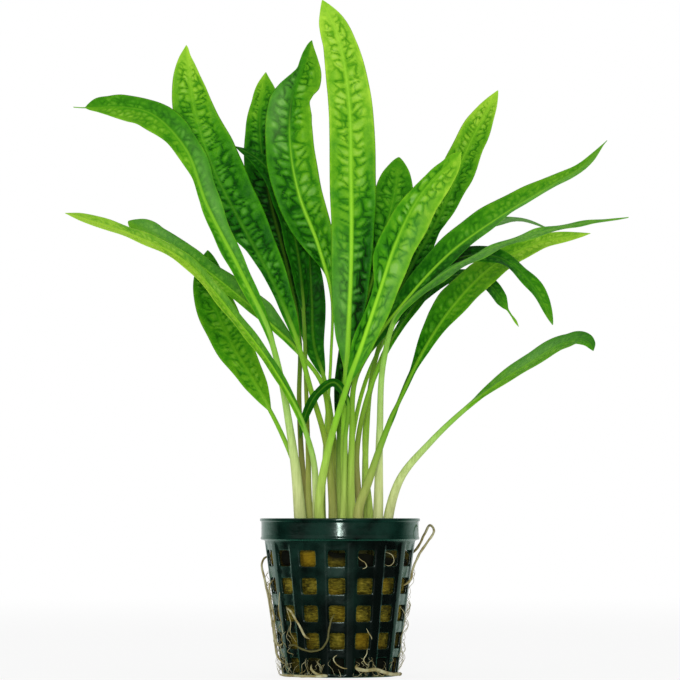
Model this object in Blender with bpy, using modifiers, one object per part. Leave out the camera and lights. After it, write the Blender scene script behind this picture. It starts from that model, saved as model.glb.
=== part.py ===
"""A potted cryptocoryne: crinkled leaves on long stalks, set in a basket pot.

The pot is a tapered plastic basket with a plain rim band and five rows of
square windows. A plug of rock wool fills it. Every leaf is one loft that
starts as a round stalk in a pocket of the wool and flattens into a lens with
a raised midrib. Thin roots come out of the windows and cling to the wall.

Lengths below are in millimetres. X runs to the right, Y to the back and Z up,
and the origin is the centre of the pot's flat underside.
"""
import math

import bmesh
import bpy
import numpy as np

MM = 0.001
GAP = 0.3
MERGE_DISTANCE = 0.01

# The basket pot
POT_HEIGHT = 54.0
RIM_RADIUS = 27.5
RIM_BAND_HEIGHT = 7.2
RIM_EDGE = 0.5
WALL_TOP_RADIUS = 25.9
WALL_FOOT_RADIUS = 19.8
WALL_THICKNESS = 1.1
FOOT_EDGE = 0.8
WINDOW_COLUMNS = 15
WINDOW_ARC = 14.1
WINDOW_TURN = -2.7
WINDOW_HEIGHT = 5.6
WINDOW_CENTRES = (3.9, 12.4, 21.7, 31.0, 40.4)
FLOOR_RINGS = (16.5, 7.0, 0.0)

# The rock wool plug
WOOL_BOTTOM = WALL_THICKNESS + GAP
WOOL_TOP = 41.5
WOOL_SIDES = 20
WOOL_TOP_RINGS = (0.0, 8.0, 16.0)
WOOL_TILT = 2.0
WOOL_LUMP = 0.7
LUMP_SPREAD = 2.2
LUMP_SHIFT = 0.8
POCKET_SIDES = 6
POCKET_REACH = 8.0

# The leaves
LEAF_SIDES = 8
STALK_FOOT = 38.0
STALK_STRAIGHT = 4.0
MIDRIB_TAPER = 0.72
BLADE_BASE_POWER = 0.7
BLADE_TIP_POWER = 0.55
LENS_POWER = 3.0
PUCKER = 0.45
FOLD = 0.12
FLATTENING = 6.0
BLADE_STATIONS = 11
STALK_STATIONS = 3
SAMPLES_PER_POINT = 40

# A leaf's route runs from the rim of the pot to the tip. Its foot is the place
# of its pocket in the wool, and its faces are the directions in which the
# upper side looks, spread evenly from the start of the blade to the tip.
LEAVES = {
    "leaf_left_arching": dict(
        foot=(-13.0, -2.5),
        route=[(-13.7, -3, 55), (-15.1, -4, 70), (-17.4, -6, 86), (-19.8, -8, 100), (-24.2, -11, 117),
               (-34.2, -14, 138.5), (-45.8, -17, 161.5), (-52.6, -19, 179.4), (-63, -20, 190.5),
               (-90.6, -22, 193.5)],
        blade=(117, 10.6), stalk=(3.2, 2.0),
        faces=[(0.3, -0.95, 0.1), (0.35, -0.9, 0.3), (0.15, -0.6, 0.75)]),
    "leaf_left_broad": dict(
        foot=(-2.2, -3.5),
        route=[(-2.4, -3, 55), (-5.1, -3, 81), (-10, -1, 98), (-14.8, 1, 115), (-23.1, 3, 135),
               (-34.8, 6, 157), (-43, 8, 173), (-50.5, 10, 195.5), (-53.4, 12, 218.3)],
        blade=(113, 15.8), stalk=(2.2, 1.7),
        faces=[(0.1, -1, 0.1), (0.0, -1, 0.1), (-0.1, -1, 0.0)]),
    "leaf_low_left_front": dict(
        foot=(-7.2, -6.5),
        route=[(-7.9, -8, 55), (-9.5, -11, 76), (-13.3, -14, 87.4), (-22.7, -19, 104.6), (-35.8, -25, 122),
               (-53.8, -33, 141.5), (-70.4, -39, 149.2), (-91.8, -45, 155.8)],
        blade=(118, 10.5), stalk=(2.2, 1.6),
        faces=[(0.3, -0.6, 0.6), (0.3, -0.5, 0.8), (0.1, -0.5, 0.85)]),
    "leaf_low_left_back": dict(
        foot=(-2.6, 1.8),
        route=[(-2.7, 2, 55), (-3.4, 3, 81), (-7.2, 4, 102.3), (-14.5, 5, 111.3), (-30.8, 9, 127),
               (-47.6, 14, 140.8), (-60.9, 18, 150.8), (-74, 22, 157.7)],
        blade=(78, 11.0), stalk=(1.9, 1.5),
        faces=[(0.3, -0.7, 0.6), (0.3, -0.7, 0.7), (0.2, -0.7, 0.7)],
        stalk_stations=4, blade_stations=10),
    "leaf_left_back": dict(
        foot=(-12.2, 3.8),
        route=[(-12.7, 5, 55), (-15.2, 9, 70.6), (-20.8, 13, 84.5), (-27.8, 17, 97.8), (-39.3, 26, 117.7),
               (-45.6, 34, 134.2), (-46.8, 42, 148.8)],
        blade=(68, 14.0), stalk=(1.7, 1.4),
        faces=[(0.2, -0.9, 0.3), (0.1, -0.95, 0.3), (0.0, -0.9, 0.4)],
        stalk_stations=4),
    "leaf_back_left": dict(
        foot=(-10.6, 7.8),
        route=[(-11.4, 8, 55), (-13.1, 12, 72.4), (-14.2, 18, 95), (-14.1, 26, 116.1), (-18.3, 34, 140.9),
               (-25.4, 43, 169.7), (-28.6, 51, 195.1), (-26.5, 57, 213.5)],
        blade=(99, 14.0), stalk=(1.9, 1.5),
        faces=[(0.1, -1, 0.2), (0.1, -1, 0.3), (0.0, -0.95, 0.3)]),
    "leaf_back_arching": dict(
        foot=(-9.0, 3.4),
        route=[(-10.3, 4, 55), (-11, 7, 77.5), (-11.8, 10, 101.8), (-12.5, 12, 122.7), (-15, 15, 147.2),
               (-19.5, 19, 164.8), (-27.3, 22, 178), (-36.8, 25, 184.2)],
        blade=(68, 10.0), stalk=(1.7, 1.3),
        faces=[(0.4, -0.9, 0.1), (0.4, -0.8, 0.3), (0.3, -0.65, 0.7)],
        stalk_stations=4, blade_stations=10),
    "leaf_twisted": dict(
        foot=(-5.8, 4.8),
        route=[(-6.2, 4, 55), (-5.5, 6, 81), (-3.5, 7, 108.6), (-3.5, 8, 132.8), (-7.6, 8, 148.4),
               (-14.2, 7, 166), (-17.3, 7, 184.7), (-16.6, 9, 199.5), (-12.9, 12, 211.3),
               (-9.7, 14, 220.2)],
        blade=(96, 17.0), stalk=(2.0, 1.6),
        faces=[(0.2, -1, 0.0), (0.0, -1, 0.1), (-0.3, -0.9, 0.3), (0.8, -0.6, 0.1)]),
    "leaf_tall": dict(
        foot=(2.0, -6.2),
        route=[(2, -7, 55), (1.4, -7.2, 77.3), (1.7, -7.3, 94.4), (2.7, -7.2, 115), (3.8, -7, 142.3),
               (3.8, -8, 169.7), (2.7, -10, 200.4), (-0.4, -12, 217.4), (-6.1, -14, 231)],
        blade=(128, 16.6), stalk=(2.4, 2.0),
        faces=[(0.12, -1, 0.03), (0.08, -1, 0.02), (-0.05, -1, 0.04)]),
    "leaf_right_front": dict(
        foot=(-6.0, -11.0),
        route=[(-7.1, -12, 55), (-4.4, -14.5, 75.5), (1.4, -18, 95.8), (7.5, -23, 112.7),
               (13.2, -29, 129.6), (18.8, -35, 146.1), (26.7, -43, 161.4), (40.4, -52, 175.7)],
        blade=(92, 12.4), stalk=(2.6, 1.9),
        faces=[(-0.2, -1, -0.1), (-0.3, -0.9, 0.0), (-0.2, -0.9, 0.3)]),
    "leaf_right_back": dict(
        foot=(7.4, 5.6),
        route=[(8.3, 6, 55), (9, 10, 81), (11.5, 15, 105.4), (16.7, 20, 123), (24.5, 26, 140.8),
               (34.5, 34, 158.9), (45.3, 43, 185), (56.3, 50, 206.3)],
        blade=(98, 12.5), stalk=(2.0, 1.6),
        faces=[(-0.3, -0.8, 0.4), (-0.3, -0.85, 0.4), (-0.2, -0.85, 0.4)]),
    "leaf_back_right": dict(
        foot=(1.0, 1.2),
        route=[(0.4, 1, 55), (-0.3, 6, 81), (0.7, 11, 98.3), (4.2, 17, 114.2), (9.8, 24, 131.9),
               (16.1, 34, 155.3), (19.5, 43, 170.1), (21, 51, 182.5)],
        blade=(90, 12.6), stalk=(2.0, 1.6),
        faces=[(-0.1, -1, 0.3), (-0.1, -1, 0.3), (0.0, -0.9, 0.4)]),
    "leaf_long_right": dict(
        foot=(5.0, -9.4),
        route=[(4.1, -9, 55), (4.1, -9, 81), (5.8, -9, 103), (11.3, -9, 113), (23.6, -9, 129.5),
               (38.3, -8, 145), (54.5, -6, 157.2), (74.2, -3, 170.8), (92, 0, 184.1)],
        blade=(112, 11.4), stalk=(2.2, 1.7), tip_power=0.75,
        faces=[(-0.4, -0.75, 0.4), (-0.4, -0.7, 0.5), (-0.4, -0.5, 0.7)]),
    "leaf_narrow_right": dict(
        foot=(12.6, -4.8),
        route=[(13, -5, 55), (13.6, -5, 84), (15, -8.5, 108), (19, -14, 122), (30.5, -20, 133.3),
               (52.4, -27, 145.5), (74.1, -31, 151.7), (97.1, -35, 155.1)],
        blade=(93, 8.6), stalk=(2.6, 1.8),
        faces=[(-0.4, -0.6, 0.6), (-0.2, -0.4, 0.85), (-0.1, -0.4, 0.9)]),
    "leaf_low_right": dict(
        foot=(7.2, -14.2),
        route=[(6.1, -13.5, 55), (9.9, -12.5, 67), (15, -11, 81.7), (21.3, -7, 96.2), (29.6, -3, 112.8),
               (39.3, 1, 127.1), (52.9, 5, 140.8), (67.3, 8, 148.7), (86.9, 11, 152.7)],
        blade=(84, 11.2), stalk=(2.7, 1.9),
        faces=[(-0.3, -0.8, 0.4), (-0.3, -0.7, 0.6), (-0.2, -0.7, 0.7)],
        stalk_stations=4),
    "leaf_nodding": dict(
        foot=(7.0, -3.6),
        route=[(6.8, -4, 55), (5.8, -5, 77.3), (9.6, -6, 96.1), (17.1, -6, 113.2), (27.4, -6, 128.7),
               (41.1, -6, 143.1), (54.8, -8, 144), (65.9, -11, 133.5), (72.5, -14, 119.7)],
        blade=(88, 8.4), stalk=(1.9, 1.5),
        faces=[(-0.5, -0.6, 0.6), (-0.3, -0.55, 0.8), (0.4, -0.6, 0.7), (0.7, -0.6, 0.2)],
        stalk_stations=4),
    "leaf_curled": dict(
        foot=(10.4, 0.6),
        route=[(10.3, 0, 55), (8.9, 3, 70.6), (8.6, 7, 84.4), (11.1, 11, 100), (17.4, 15, 115.8),
               (27.9, 19, 129.9), (40.1, 22, 138.5), (51.7, 25, 135.8), (57.7, 26, 128.2),
               (62.6, 27, 120.9)],
        blade=(56, 7.4), stalk=(1.7, 1.3),
        faces=[(-0.4, -0.6, 0.7), (0.1, -0.6, 0.8), (0.7, -0.6, 0.3)],
        stalk_stations=4, blade_stations=11),
    "leaf_outer_right": dict(
        foot=(15.8, -1.6),
        route=[(16.8, -2, 55), (20.5, -4, 67.1), (30.7, -8, 79.7), (47.7, -14, 95.2), (64.7, -19, 106.8),
               (77.2, -23, 113.4), (85.1, -26, 111.8)],
        blade=(54, 9.4), stalk=(2.8, 1.7),
        faces=[(-0.4, -0.5, 0.75), (-0.3, -0.5, 0.8), (0.2, -0.5, 0.8)],
        stalk_stations=4),
    "leaf_behind_right": dict(
        foot=(2.6, 7.6),
        route=[(2.8, 8, 55), (4.2, 15, 81), (9.1, 23, 102.2), (19.7, 32, 123.5), (35.4, 42, 144.5),
               (51.6, 52, 157.9), (64.3, 58, 160.5), (76, 62, 157.2)],
        blade=(78, 7.5), stalk=(1.7, 1.3),
        faces=[(-0.3, -0.5, 0.8), (-0.2, -0.4, 0.9), (0.1, -0.4, 0.9)],
        stalk_stations=4, blade_stations=9),
    "leaf_small_front": dict(
        foot=(0.8, -11.4),
        route=[(1, -11.4, 55), (1.8, -11.8, 80.6), (1.8, -12.2, 95.8), (-2, -11.8, 100.1),
               (-7.4, -10.8, 96.6), (-11.8, -9.8, 88.7), (-13.8, -9, 80.9)],
        blade=(34, 4.6), stalk=(1.6, 1.3),
        faces=[(0.3, -0.9, 0.3), (-0.2, -0.6, 0.8), (-0.7, -0.6, 0.2)],
        stalk_stations=4, blade_stations=8),
    "leaf_centre_back": dict(
        foot=(-1.5, 5.8),
        route=[(-1, 5, 55), (-2.1, 9, 81), (-5.2, 13, 101.2), (-9, 17, 114.1), (-9.8, 20.5, 130),
               (-10.9, 24, 149.6)],
        blade=(48, 9.4), stalk=(1.8, 1.5),
        faces=[(0.1, -1, 0.3), (0.0, -0.95, 0.3), (-0.1, -0.9, 0.4)],
        blade_stations=9),
}

# A root's route is a list of (angle from the front, height, distance out from
# the wall). Each end goes in through a window.
ROOTS = {
    "root_right_loop": dict(
        width=1.0,
        route=[(117, 40.4, -0.6), (111, 42.5, 2.0), (102, 48.5, 3.6), (94, 51.6, 4.4), (87, 49.6, 6.0),
               (82, 46.0, 4.6), (79, 41.5, 2.2), (77, 36.6, 1.0), (72, 32.2, 0.7), (69, 31.0, -0.7)]),
    "root_front_left": dict(
        width=0.9,
        route=[(-52, 22.8, -0.7), (-49.5, 23.4, 0.6), (-45, 22.6, 0.9), (-40, 19.6, 0.9), (-35, 16.6, 0.9),
               (-31.5, 14.0, 0.8), (-29, 13.0, -0.6)]),
    "root_front_curve": dict(
        width=0.9,
        route=[(-55, 11.6, -0.7), (-52, 10.8, 0.6), (-43.5, 11.0, 0.9), (-35, 9.6, 0.9), (-27, 9.0, 0.9),
               (-18, 9.6, 0.9), (-12, 12.0, 0.9), (-9.2, 16.5, 0.9), (-7, 20.2, 0.5), (-5, 21.6, -0.6)]),
    "root_low_right": dict(
        width=1.4,
        route=[(17, 4.6, -0.6), (15.5, 3.4, 0.8), (22, 2.6, 1.2), (34, 2.7, 1.2), (44, 1.8, 1.3),
               (54, 1.0, 1.6), (66, 0.9, 1.5), (80, 0.9, 1.4)]),
    "root_left_outer": dict(
        width=0.9,
        route=[(-101, 41.0, -0.7), (-98, 40.6, 0.8), (-93, 38.6, 2.0), (-89, 33.0, 1.7), (-91, 26.0, 1.3),
               (-87, 19.0, 1.0), (-88, 12.0, 1.0), (-82, 7.0, 0.9), (-77, 4.2, -0.5)]),
    "root_left_inner": dict(
        width=0.8,
        route=[(-77, 33.0, -0.7), (-75, 31.6, 0.7), (-78, 27.0, 1.0), (-75, 20.0, 0.9), (-79, 14.0, 0.9),
               (-73, 10.6, 0.6), (-71, 11.4, -0.7)]),
    "root_foot_left": dict(
        width=1.0,
        route=[(-29, 4.4, -0.6), (-27.5, 3.0, 0.8), (-22, 1.4, 1.2), (-12, 0.8, 1.6), (-20, 0.6, 3.4),
               (-32, 0.6, 2.4), (-44, 0.6, 1.6), (-58, 0.6, 1.4), (-70, 0.6, 2.0)]),
}
ROOT_ROUNDING = 1
ROOT_POINTS_BETWEEN = 2


def clear_scene():
    """Starts from an empty scene."""
    for thing in list(bpy.data.objects):
        bpy.data.objects.remove(thing, do_unlink=True)


def new_collection(name):
    """A collection linked to the scene."""
    collection = bpy.data.collections.new(name)
    bpy.context.scene.collection.children.link(collection)
    return collection


def new_material(name, colour, roughness):
    """A plain plant or plastic finish."""
    material = bpy.data.materials.new(name)
    material.use_nodes = True
    shader = material.node_tree.nodes["Principled BSDF"]
    shader.inputs["Base Color"].default_value = (*colour, 1.0)
    shader.inputs["Roughness"].default_value = roughness
    shader.inputs["Metallic"].default_value = 0.0
    return material


def new_object(name, mesh, material, collection):
    """An object that holds the mesh with one material."""
    thing = bpy.data.objects.new(name, mesh)
    mesh.materials.clear()
    mesh.materials.append(material)
    collection.objects.link(thing)
    return thing


def wall_radius(height):
    """Outer radius of the tapered wall at a height."""
    share = height / (POT_HEIGHT - RIM_BAND_HEIGHT)
    return WALL_FOOT_RADIUS + (WALL_TOP_RADIUS - WALL_FOOT_RADIUS) * share


def turned_mesh(name, profile, steps):
    """The mesh of a profile of (radius, height) turned about Z, top to bottom."""
    mesh = bpy.data.meshes.new(name)
    points = [(radius * MM, 0.0, height * MM) for radius, height in profile]
    mesh.from_pydata(points, [(i, i + 1) for i in range(len(points) - 1)], [])
    profile_object = bpy.data.objects.new(name, mesh)
    bpy.context.scene.collection.objects.link(profile_object)
    screw = profile_object.modifiers.new("Turn", "SCREW")
    screw.steps = steps
    screw.render_steps = steps
    screw.use_merge_vertices = True
    screw.merge_threshold = MERGE_DISTANCE * MM
    graph = bpy.context.evaluated_depsgraph_get()
    turned = bpy.data.meshes.new_from_object(profile_object.evaluated_get(graph))
    bpy.data.objects.remove(profile_object, do_unlink=True)
    return turned


def pot_profile():
    """The outer line of the pot, from the rim's top edge to the centre of the floor."""
    band_bottom = POT_HEIGHT - RIM_BAND_HEIGHT
    profile = [
        (RIM_RADIUS - RIM_EDGE, POT_HEIGHT),
        (RIM_RADIUS, POT_HEIGHT - RIM_EDGE),
        (RIM_RADIUS, band_bottom),
        (WALL_TOP_RADIUS, band_bottom - RIM_EDGE),
    ]
    for centre in reversed(WINDOW_CENTRES):
        for height in (centre + WINDOW_HEIGHT / 2, centre - WINDOW_HEIGHT / 2):
            profile.append((wall_radius(height), height))
    profile.append((WALL_FOOT_RADIUS - FOOT_EDGE, 0.0))
    profile += [(radius, 0.0) for radius in FLOOR_RINGS]
    return profile


def is_window(column, height, radius):
    """Whether a face of the turned shell is a window of the wall or a slot of the floor."""
    if column % 2:
        return False
    in_row = any(abs(height - centre) < WINDOW_HEIGHT / 4 for centre in WINDOW_CENTRES)
    in_floor = height < FOOT_EDGE / 4 and FLOOR_RINGS[1] < radius < FLOOR_RINGS[0]
    return in_row or in_floor


def make_pot(material, collection):
    """The shell is turned, its columns are spread into windows and ribs, and it gets a wall."""
    steps = 2 * WINDOW_COLUMNS
    step = 2 * math.pi / steps
    spread = math.radians(WINDOW_ARC) - step
    mesh = turned_mesh("pot", pot_profile(), steps)
    shell = bmesh.new()
    shell.from_mesh(mesh)
    for vertex in shell.verts:
        radius = math.hypot(vertex.co.x, vertex.co.y)
        if radius < GAP * MM:
            continue
        column = round(math.atan2(vertex.co.y, vertex.co.x) / step)
        side = 1 if column % 2 else -1
        angle = column * step + side * spread / 2 + math.radians(WINDOW_TURN)
        vertex.co.x = radius * math.cos(angle)
        vertex.co.y = radius * math.sin(angle)
    windows = []
    for face in shell.faces:
        centre = face.calc_center_median()
        angle = math.atan2(centre.y, centre.x) - math.radians(WINDOW_TURN)
        column = math.floor(angle / step) % steps
        if is_window(column, centre.z / MM, math.hypot(centre.x, centre.y) / MM):
            windows.append(face)
    bmesh.ops.delete(shell, geom=windows, context="FACES")
    shell.to_mesh(mesh)
    shell.free()
    pot = new_object("pot", mesh, material, collection)
    wall = pot.modifiers.new("Wall", "SOLIDIFY")
    wall.thickness = WALL_THICKNESS * MM
    wall.offset = -1.0
    wall.use_even_offset = True
    return pot


def wool_top(x, y):
    """Height of the plug's uneven top: higher on the left, with soft lumps."""
    tilt = -WOOL_TILT * x / WALL_FOOT_RADIUS
    across = x / LUMP_SPREAD + LUMP_SHIFT
    deep = y / LUMP_SPREAD
    return WOOL_TOP + tilt + WOOL_LUMP * (math.sin(across) * math.cos(deep) + math.sin(deep / 2))


def wool_radius(height):
    """The plug stays clear of the flats of the pot's inner wall."""
    flat = math.cos(math.radians(WINDOW_ARC) / 2)
    return (wall_radius(height) - WALL_THICKNESS - GAP / 2) * flat - GAP


def make_pockets(material, collection):
    """One six-sided cutter for each stalk, from under its foot to above the wool, all in one mesh."""
    pockets = bmesh.new()
    clear = math.cos(math.pi / POCKET_SIDES)
    for leaf in LEAVES.values():
        foot_width = leaf["stalk"][0]
        radius = (foot_width / 2 + GAP) / clear * MM
        height = WOOL_TOP + POCKET_REACH - STALK_FOOT
        made = bmesh.ops.create_cone(
            pockets, cap_ends=True, segments=POCKET_SIDES, depth=height * MM, radius1=radius, radius2=radius)
        middle = (leaf["foot"][0] * MM, leaf["foot"][1] * MM, (STALK_FOOT - GAP + height / 2) * MM)
        bmesh.ops.translate(pockets, verts=made["verts"], vec=middle)
    mesh = bpy.data.meshes.new("stalk_pockets")
    pockets.to_mesh(mesh)
    pockets.free()
    cutter = new_object("stalk_pockets", mesh, material, collection)
    cutter.hide_render = True
    cutter.display_type = "WIRE"
    return cutter


def make_rock_wool(material, collection, cutters):
    """A turned plug whose top is made uneven, with a pocket for each stalk."""
    edge = wool_radius(WOOL_TOP)
    profile = [(radius, WOOL_TOP) for radius in WOOL_TOP_RINGS]
    profile += [(edge, WOOL_TOP), (wool_radius(WOOL_BOTTOM), WOOL_BOTTOM), (0.0, WOOL_BOTTOM)]
    mesh = turned_mesh("rock_wool", profile, WOOL_SIDES)
    for vertex in mesh.vertices:
        if vertex.co.z > (WOOL_TOP - GAP) * MM:
            height = wool_top(vertex.co.x / MM, vertex.co.y / MM)
            vertex.co.z = height * MM
            radius = math.hypot(vertex.co.x, vertex.co.y)
            if radius > (edge - GAP) * MM:
                scale = wool_radius(height) * MM / radius
                vertex.co.x *= scale
                vertex.co.y *= scale
    wool = new_object("rock_wool", mesh, material, collection)
    cut = wool.modifiers.new("Pockets", "BOOLEAN")
    cut.operation = "DIFFERENCE"
    cut.solver = "EXACT"
    cut.object = make_pockets(material, cutters)
    return wool


def smooth_line(points, places):
    """Points at the given distances along a smooth curve through hand-placed points.

    The curve is a cubic Hermite line whose tangents are the central differences
    of the points over their chord lengths.
    """
    points = np.asarray(points, float)
    chords = np.linalg.norm(np.diff(points, axis=0), axis=1)
    at = np.concatenate([[0.0], np.cumsum(chords)])
    tangents = np.gradient(points, at, axis=0)
    fine = np.linspace(0.0, at[-1], SAMPLES_PER_POINT * len(points))
    k = np.clip(np.searchsorted(at, fine, side="right") - 1, 0, len(at) - 2)
    span = (at[k + 1] - at[k])[:, None]
    t = (fine - at[k])[:, None] / span
    line = ((2 * t**3 - 3 * t**2 + 1) * points[k] + (t**3 - 2 * t**2 + t) * span * tangents[k]
            + (3 * t**2 - 2 * t**3) * points[k + 1] + (t**3 - t**2) * span * tangents[k + 1])
    lengths = np.concatenate([[0.0], np.cumsum(np.linalg.norm(np.diff(line, axis=0), axis=1))])
    wanted = np.asarray(places(lengths[-1]))
    return np.stack([np.interp(wanted, lengths, line[:, axis]) for axis in range(3)], axis=1), wanted


def leaf_places(length, blade_length, stalk_stations, blade_stations):
    """Distances from the foot of a leaf to its sections, closer together near the tip."""
    start = length - blade_length
    buried = 2 * STALK_STRAIGHT
    stalk = np.linspace(buried, start, stalk_stations + 1)
    blade = start + blade_length * np.sin(np.linspace(0.0, math.pi / 2, blade_stations + 2)[1:-1])
    return np.concatenate([[0.0], stalk, blade, [length]])


def blade_outline(share, tip_power):
    """Share of the full width at a share s of the blade: s^base (1 - s)^tip over its own peak."""
    peak = BLADE_BASE_POWER / (BLADE_BASE_POWER + tip_power)
    full = peak**BLADE_BASE_POWER * (1 - peak)**tip_power
    return share**BLADE_BASE_POWER * (1 - share)**tip_power / full


def spread_directions(directions, shares):
    """Directions read between the given ones, which are spread evenly from 0 to 1."""
    directions = np.asarray(directions, float)
    at = np.linspace(0.0, 1.0, len(directions))
    return np.stack([np.interp(shares, at, directions[:, axis]) for axis in range(3)], axis=1)


def unit(vectors):
    """The rows of an array, each scaled to length 1."""
    return vectors / np.linalg.norm(vectors, axis=1)[:, None]


def leaf_rings(leaf):
    """Rings of section points from foot to tip, and the tip.

    A section point at angle a is across = w cos a, up = h sin a |sin a|^p plus
    the fold and puckers. On the stalk w = h and p = 0, a circle. On the blade w
    is half the width, h half the midrib, and p makes the rest a thin lens.
    """
    blade_length, width = leaf["blade"]
    x, y = leaf["foot"]
    foot = [(x, y, STALK_FOOT + step * STALK_STRAIGHT) for step in range(3)]
    stations = (leaf.get("stalk_stations", STALK_STATIONS), leaf.get("blade_stations", BLADE_STATIONS))
    route = foot + leaf["route"]
    line, at = smooth_line(route, lambda length: leaf_places(length, blade_length, *stations))
    along = unit(np.gradient(line, at, axis=0))
    along[0] = (0.0, 0.0, 1.0)
    share = np.clip((at - (at[-1] - blade_length)) / blade_length, 0.0, 1.0)
    on_stalk = np.clip(at / (at[-1] - blade_length), 0.0, 1.0)
    thick = (leaf["stalk"][0] + (leaf["stalk"][1] - leaf["stalk"][0]) * on_stalk) / 2
    thick = thick * (1 - MIDRIB_TAPER * share)
    outline = blade_outline(share, leaf.get("tip_power", BLADE_TIP_POWER))
    half = np.hypot(thick * (1 - share), outline * width / 2)
    flat = np.clip(share * FLATTENING, 0.0, 1.0)
    side = unit(np.cross(along, spread_directions(leaf["faces"], share)))
    up = np.cross(side, along)
    angle = np.arange(LEAF_SIDES) * 2 * math.pi / LEAF_SIDES
    across = half[:, None] * np.cos(angle)
    rise = thick[:, None] * np.sin(angle) * np.abs(np.sin(angle))**(LENS_POWER * flat[:, None])
    turn = (-1.0)**np.arange(len(at))
    rise += (PUCKER * flat * turn)[:, None] * np.abs(np.sin(2 * angle)) * np.sign(np.cos(angle))
    rise += FOLD * flat[:, None] * np.abs(across)
    rings = line[:, None] + side[:, None] * across[..., None] + up[:, None] * rise[..., None]
    return rings[:-1], line[-1]


def make_leaf(name, leaf, material, collection):
    """One closed loft from the foot of the stalk to the tip of the blade.

    The upper and the lower side are split into triangles the same way, so that
    the thin blade's two sides stay apart between their points.
    """
    rings, tip = leaf_rings(leaf)
    count, sides = rings.shape[:2]
    points = np.concatenate([rings.reshape(-1, 3), tip[None]]) * MM
    faces = [tuple(range(sides))]
    for ring in range(count - 1):
        for k in range(sides):
            following = (k + 1) % sides
            a, b = ring * sides + k, ring * sides + following
            if k < sides / 2:
                faces += [(a, a + sides, b + sides), (a, b + sides, b)]
            else:
                faces += [(a, a + sides, b), (a + sides, b + sides, b)]
    last = (count - 1) * sides
    faces += [(last + k, count * sides, last + (k + 1) % sides) for k in range(sides)]
    mesh = bpy.data.meshes.new(name)
    mesh.from_pydata(points.tolist(), [], faces)
    shell = bmesh.new()
    shell.from_mesh(mesh)
    bmesh.ops.recalc_face_normals(shell, faces=shell.faces)
    shell.to_mesh(mesh)
    shell.free()
    mesh.shade_smooth()
    return new_object(name, mesh, material, collection)


def make_root(name, root, material, collection):
    """A thin bevelled curve that goes in and out of the windows."""
    points = []
    for angle, height, out in root["route"]:
        radius = wall_radius(height) + out
        turn = math.radians(angle)
        points.append((radius * math.sin(turn), -radius * math.cos(turn), height))
    count = ROOT_POINTS_BETWEEN * (len(points) - 1) + 1
    line, _ = smooth_line(points, lambda length: np.linspace(0.0, length, count))
    curve = bpy.data.curves.new(name, "CURVE")
    curve.dimensions = "3D"
    curve.bevel_depth = root["width"] / 2 * MM
    curve.bevel_resolution = ROOT_ROUNDING
    curve.use_fill_caps = True
    spline = curve.splines.new("POLY")
    spline.points.add(count - 1)
    for point, place in zip(spline.points, line):
        point.co = (*(place * MM), 1.0)
    thing = bpy.data.objects.new(name, curve)
    curve.materials.append(material)
    collection.objects.link(thing)
    return thing


def main():
    clear_scene()
    plant = new_collection("potted_cryptocoryne")
    cutters = new_collection("cutters")
    plastic = new_material("pot_plastic", (0.006, 0.014, 0.012), 0.22)
    wool = new_material("rock_wool", (0.16, 0.13, 0.02), 0.95)
    green = new_material("leaf", (0.07, 0.24, 0.015), 0.4)
    cream = new_material("root", (0.72, 0.62, 0.38), 0.6)
    make_pot(plastic, plant)
    make_rock_wool(wool, plant, cutters)
    for name, leaf in LEAVES.items():
        make_leaf(name, leaf, green, plant)
    for name, root in ROOTS.items():
        make_root(name, root, cream, plant)


main()
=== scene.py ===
# %% [markdown]
# # A potted cryptocoryne
#
# The real object is an aquarium plant from a shop: about twenty long crinkled leaves on pale stalks,
# rooted in a plug of rock wool that sits in a black basket pot, 55 millimetres across its rim. The packed
# model already holds the pot, the plug, the leaves and the thick roots as plain solids of the real size.
# This lesson keeps their places, gives each its fine surface and its finish, and adds the loose fibres and
# the thin rootlets.

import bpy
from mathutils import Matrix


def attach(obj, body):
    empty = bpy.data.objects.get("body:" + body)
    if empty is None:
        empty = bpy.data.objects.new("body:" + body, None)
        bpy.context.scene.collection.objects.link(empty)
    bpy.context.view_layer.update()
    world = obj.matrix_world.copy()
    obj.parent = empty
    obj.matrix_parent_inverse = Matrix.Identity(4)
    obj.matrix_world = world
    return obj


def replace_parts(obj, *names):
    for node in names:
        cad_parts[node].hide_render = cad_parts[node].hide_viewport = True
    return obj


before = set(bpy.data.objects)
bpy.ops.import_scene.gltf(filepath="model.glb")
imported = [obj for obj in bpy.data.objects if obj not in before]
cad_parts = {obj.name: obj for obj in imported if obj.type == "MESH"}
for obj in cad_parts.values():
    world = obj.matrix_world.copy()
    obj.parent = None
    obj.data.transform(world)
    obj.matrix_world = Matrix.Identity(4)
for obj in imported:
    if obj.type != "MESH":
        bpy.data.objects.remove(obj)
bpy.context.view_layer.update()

# %% Modules and the unit
import math

import bmesh
import bpy
import numpy as np

MM = 0.001

# %% [markdown]
# ## The camera
#
# The photograph was taken from straight ahead, level with the pot's rim, from far enough away that near
# and far leaves show at almost the same scale. A long lens does that. The lens is worked out from the
# scale of the photograph, so a millimetre on the plant is as many pixels wide as it is there.

# %% Camera
PHOTO_SIDE_PX = 680
MM_PER_PX = 0.34375
EYE = (0.0, -1500.0, 54.0)
AIM = (0.0, 0.0, 115.2)

camera_data = bpy.data.cameras.new("photo_camera")
camera_data.lens = camera_data.sensor_width * math.dist(EYE, AIM) / (PHOTO_SIDE_PX * MM_PER_PX)
camera = bpy.data.objects.new("photo_camera", camera_data)
camera.location = [place * MM for place in EYE]
camera.rotation_euler = (math.pi / 2 + math.atan2(AIM[2] - EYE[2], AIM[1] - EYE[1]), 0.0, 0.0)
bpy.context.scene.collection.objects.link(camera)
bpy.context.scene.camera = camera
print("lens in mm: %.1f" % camera_data.lens)

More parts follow.
